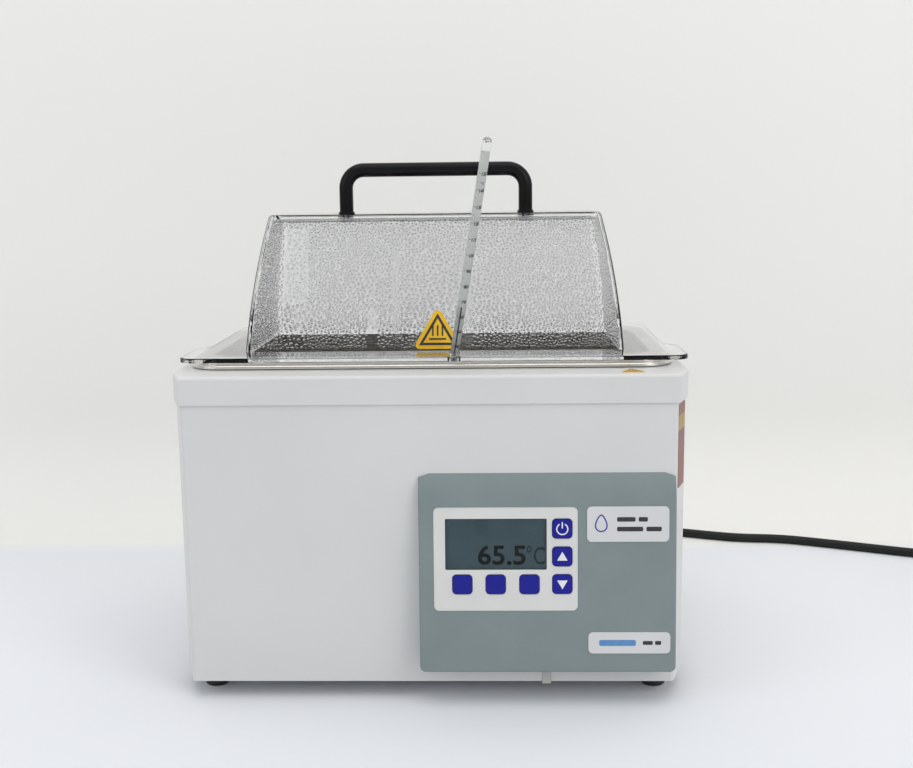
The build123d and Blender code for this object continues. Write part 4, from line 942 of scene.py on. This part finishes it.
# %% Display
lcd = new_finish("lcd_glass", (0.075, 0.118, 0.135), 0.4, Specular_IOR_Level=0.15)
colour_between(lcd, grain(lcd, 25 * mm), (0.068, 0.108, 0.124), (0.082, 0.128, 0.145))
relief(lcd, grain(lcd, 0.5 * mm), 0.003 * mm, 0.4)
dress(lcd, "lcd_module")
lcd_front = -2.6 * mm
segment_ink = new_finish("segment_ink", (0.004, 0.007, 0.008), 0.5, Specular_IOR_Level=0.2)
colour_between(segment_ink, grain(segment_ink, 3 * mm), (0.003, 0.005, 0.006), (0.006, 0.010, 0.011))
faint_ink = new_finish("faint_ink", (0.025, 0.042, 0.048), 0.4, Specular_IOR_Level=0.15)
colour_between(faint_ink, grain(faint_ink, 3 * mm), (0.021, 0.036, 0.041), (0.029, 0.048, 0.055))
digits = text_mesh("65.5", 12.8 * mm, 0.06 * mm, 0.38 * mm)
digits.name = "display_digits"
digits.data.transform(Matrix.Diagonal((31.5 * mm / digits.dimensions.x, 1, 1, 1)))
place(digits, on_pod(29.3 * mm, 72.3 * mm, lcd_front + 0.05 * mm), "bath", "display", segment_ink)
unit_sign = text_mesh("°C", 12.0 * mm, 0.06 * mm, 0.12 * mm)
unit_sign.name = "display_unit"
unit_sign.data.transform(Matrix.Diagonal((12.0 * mm / unit_sign.dimensions.x, 1, 1, 1)))
place(unit_sign, on_pod(61.2 * mm, 72.3 * mm, lcd_front + 0.05 * mm), "bath", "display", faint_ink)
icon_frame = outline_plate("icon_frame", rounded(7.8 * mm, 8.4 * mm, 0.5 * mm, 0, 0, 3), 0.05 * mm, 0.3 * mm)
house = [(-2.3, -2.9), (2.3, -2.9), (2.3, 1.0), (1.4, 2.6), (-1.4, 2.6), (-2.3, 1.0)]
icon_house = outline_plate("icon_house", [(x * mm, y * mm) for x, y in house], 0.05 * mm, 0.28 * mm)
dot_corners = rounded(2.2 * mm, 1.2 * mm, 0.3 * mm, 0, -0.6 * mm, 3)
icon_dot = outline_plate("icon_dot", dot_corners, 0.05 * mm, 0.25 * mm)
icon = join_pieces([icon_frame, icon_house, icon_dot], "display_icon")
place(icon, on_pod(32.6 * mm, 97.2 * mm, lcd_front + 0.02 * mm), "bath", "display", faint_ink)
print("display shows its digits and one symbol")

# %% [markdown]
# The two name plates are white with rounded corners. A plain drop and plain bars stand in for printing.

# %% Name plates
plate_front = 0.6 * mm
print_blue = new_finish("print_blue", (0.03, 0.05, 0.36), 0.4)
colour_between(print_blue, grain(print_blue, 4 * mm), (0.026, 0.043, 0.32), (0.035, 0.058, 0.40))
print_dark = new_finish("print_dark", (0.03, 0.03, 0.035), 0.45)
colour_between(print_dark, grain(print_dark, 4 * mm), (0.022, 0.022, 0.026), (0.04, 0.04, 0.046))
print_sky = new_finish("print_sky", (0.10, 0.27, 0.55), 0.4)
colour_between(print_sky, grain(print_sky, 4 * mm), (0.09, 0.25, 0.51), (0.11, 0.29, 0.59))


def bars(name, spans, matrix, material):
    """A row of plain rounded bars: each span is left, right, low and high, in millimetres."""
    made = [
        outline_plate(
            "bar",
            rounded(
                (right - left) * mm, (high - low) * mm, (high - low) * 0.25 * mm, (left + right) / 2 * mm,
                (low + high) / 2 * mm, 3,
            ),
            0.06 * mm,
        )
        for left, right, low, high in spans
    ]
    row = join_pieces(made, name) if len(made) > 1 else made[0]
    row.name = row.data.name = name
    place(row, matrix, "bath", "badge", material)
    return row


drop_outline = []
for step in range(28):
    angle = 2 * math.pi * step / 28
    pull = math.cos(angle / 2) ** 6 * 3.2
    across = 4.3 * mm * math.sin(angle) * (1 - 0.24 * pull / 3.2)
    drop_outline.append((across, (4.3 * math.cos(angle) + pull) * mm))
plate_drop = outline_plate("plate_drop", drop_outline, 0.06 * mm, 0.9 * mm)
place(plate_drop, on_pod(110.3 * mm, 98.4 * mm, plate_front), "bath", "badge", print_blue)
bars("plate_lines", [(0, 12, 2.0, 5.0), (14, 20, 2.0, 5.0), (0, 17, -4.4, -1.4), (19, 29, -4.4, -1.4)],
     on_pod(120.5 * mm, 99.0 * mm, plate_front), print_dark)
bars("lower_line", [(0, 24, -2.0, 2.0)], on_pod(109.0 * mm, 20.3 * mm, plate_front), print_sky)
bars("lower_note", [(0, 6.5, -1.3, 1.3), (8, 12, -1.3, 1.3)],
     on_pod(137.5 * mm, 20.3 * mm, plate_front), print_dark)
print("name plates marked")

# %% [markdown]
# ## Stickers
#
# A yellow triangle on the lid and a small one on the cover warn of heat. Each has a dark border and a plain
# sign: three straight strokes over a bar. The label on the right-hand corner is a pale red film with a
# yellow head.

# %% Triangles
yellow = new_finish("label_yellow", (0.86, 0.50, 0.012), 0.35)
colour_between(yellow, grain(yellow, 8 * mm), (0.80, 0.46, 0.010), (0.90, 0.54, 0.016))
dress(yellow, "lid_caution_label", "cover_caution_label")


def triangle_sign(name, width, matrix, body):
    """The dark border and sign of a warning triangle that stands on its base, middle at the origin."""
    height = width * math.sqrt(3) / 2
    inset = width * 0.075
    half = width / 2 - inset * math.sqrt(3)
    corners = [(-half, inset), (half, inset), (0, height - 2 * inset)]
    border = outline_plate("border", corners, 0.06 * mm, width * 0.05)
    made = [border]
    bar = rounded(width * 0.34, width * 0.035, width * 0.01, 0, width * 0.2, 3)
    made.append(outline_plate("bar", bar, 0.06 * mm))
    for i in (-1, 0, 1):
        stroke = rounded(width * 0.032, width * 0.22, width * 0.012, i * width * 0.095, width * 0.37, 3)
        made.append(outline_plate("stroke", stroke, 0.06 * mm))
    sign = join_pieces(made, name)
    place(sign, matrix, body, "label_yellow", print_dark)


label_width = 35.0 * mm
label_lift = 1.2 * mm
lean_up = Vector((0, math.sin(front_lean), math.cos(front_lean)))
lean_out = Vector((0, -math.cos(front_lean), math.sin(front_lean)))
label_rise = wall + label_lift
label_foot_y = dome_middle_y - dome_half_y + label_rise * math.tan(front_lean)
label_origin = Vector((dome_middle_x + 2.6 * mm, label_foot_y, lid_under + label_rise))
triangle_sign("lid_sign", label_width, on_plane(label_origin + lean_out * 0.3 * mm, lean_up, lean_out), "lid")
cover_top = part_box("top_cover")[1].z
cover_sign_origin = Vector((134 * mm, front + 8 * mm, cover_top + 0.3 * mm))
triangle_sign(
    "cover_sign", 18.0 * mm, on_plane(cover_sign_origin, Vector((0, 1, 0)), Vector((0, 0, 1))), "bath"
)
print("two triangles marked")

# %% Corner label
label_low, label_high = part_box("side_label")
pink = new_finish("label_red", (0.62, 0.33, 0.27), 0.45)
tree = pink.node_tree
where = tree.nodes.new("ShaderNodeTexCoord")
split = tree.nodes.new("ShaderNodeSeparateXYZ")
heights = tree.nodes.new("ShaderNodeMapRange")
heights.inputs["From Min"].default_value = label_low.z
heights.inputs["From Max"].default_value = label_high.z
bands = tree.nodes.new("ShaderNodeValToRGB")
bands.color_ramp.interpolation = "CONSTANT"
red_band, yellow_band, purple_band = (0.27, 0.115, 0.10), (0.40, 0.28, 0.09), (0.22, 0.11, 0.12)
stops = [(0.0, red_band), (0.56, purple_band), (0.68, yellow_band), (0.86, red_band)]
bands.color_ramp.elements[0].color = (*stops[0][1], 1.0)
bands.color_ramp.elements[1].position = stops[1][0]
bands.color_ramp.elements[1].color = (*stops[1][1], 1.0)
for position, tone in stops[2:]:
    bands.color_ramp.elements.new(position).color = (*tone, 1.0)
tree.links.new(where.outputs["Object"], split.inputs["Vector"])
tree.links.new(split.outputs["Z"], heights.inputs["Value"])
tree.links.new(heights.outputs["Result"], bands.inputs["Fac"])
tree.links.new(bands.outputs["Color"], tree.nodes["Principled BSDF"].inputs["Base Color"])
relief(pink, grain(pink, 1 * mm), 0.005 * mm, 0.4)
dress(pink, "side_label")
print("corner label from z", round(label_low.z, 4), "to", round(label_high.z, 4))

# %% [markdown]
# ## Floor colour
#
# The sheet's colour goes from a faintly blue white near the bath to a warmer white further back: painted
# shading that stands in for how the light falls on the floor and on the wall, stepping at the shading edge
# where they meet. One soft ramp along Y mixes the two. Its back is clear, so that the bath can also be seen
# from behind the wall.

# %% Floor colour
sheet_paper = new_finish("sheet_paper", (0.80, 0.82, 0.86), 0.75)
tree = sheet_paper.node_tree
where = tree.nodes.new("ShaderNodeTexCoord")
split = tree.nodes.new("ShaderNodeSeparateXYZ")
depth = tree.nodes.new("ShaderNodeMapRange")
depth.inputs["From Min"].default_value = 0.22
depth.inputs["From Max"].default_value = 0.25
tree.links.new(where.outputs["Object"], split.inputs["Vector"])
tree.links.new(split.outputs["Y"], depth.inputs["Value"])
# painted shading: a cool floor tint and a warm wall tint, stepping at the shading edge where they meet
colour_between(sheet_paper, depth.outputs["Result"], (0.83, 0.845, 0.88), (0.90, 0.892, 0.865), 0.0, 1.0)
relief(sheet_paper, grain(sheet_paper, 4 * mm), 0.05 * mm, 0.2)
side_seen = tree.nodes.new("ShaderNodeNewGeometry")
clear_back = tree.nodes.new("ShaderNodeBsdfTransparent")
two_sides = tree.nodes.new("ShaderNodeMixShader")
tree.links.new(side_seen.outputs["Backfacing"], two_sides.inputs[0])
tree.links.new(tree.nodes["Principled BSDF"].outputs["BSDF"], two_sides.inputs[1])
tree.links.new(clear_back.outputs["BSDF"], two_sides.inputs[2])
tree.links.new(two_sides.outputs["Shader"], tree.nodes["Material Output"].inputs["Surface"])
backdrop.data.materials.append(sheet_paper)
print("floor coloured")

# %% Finish
bpy.context.view_layer.update()
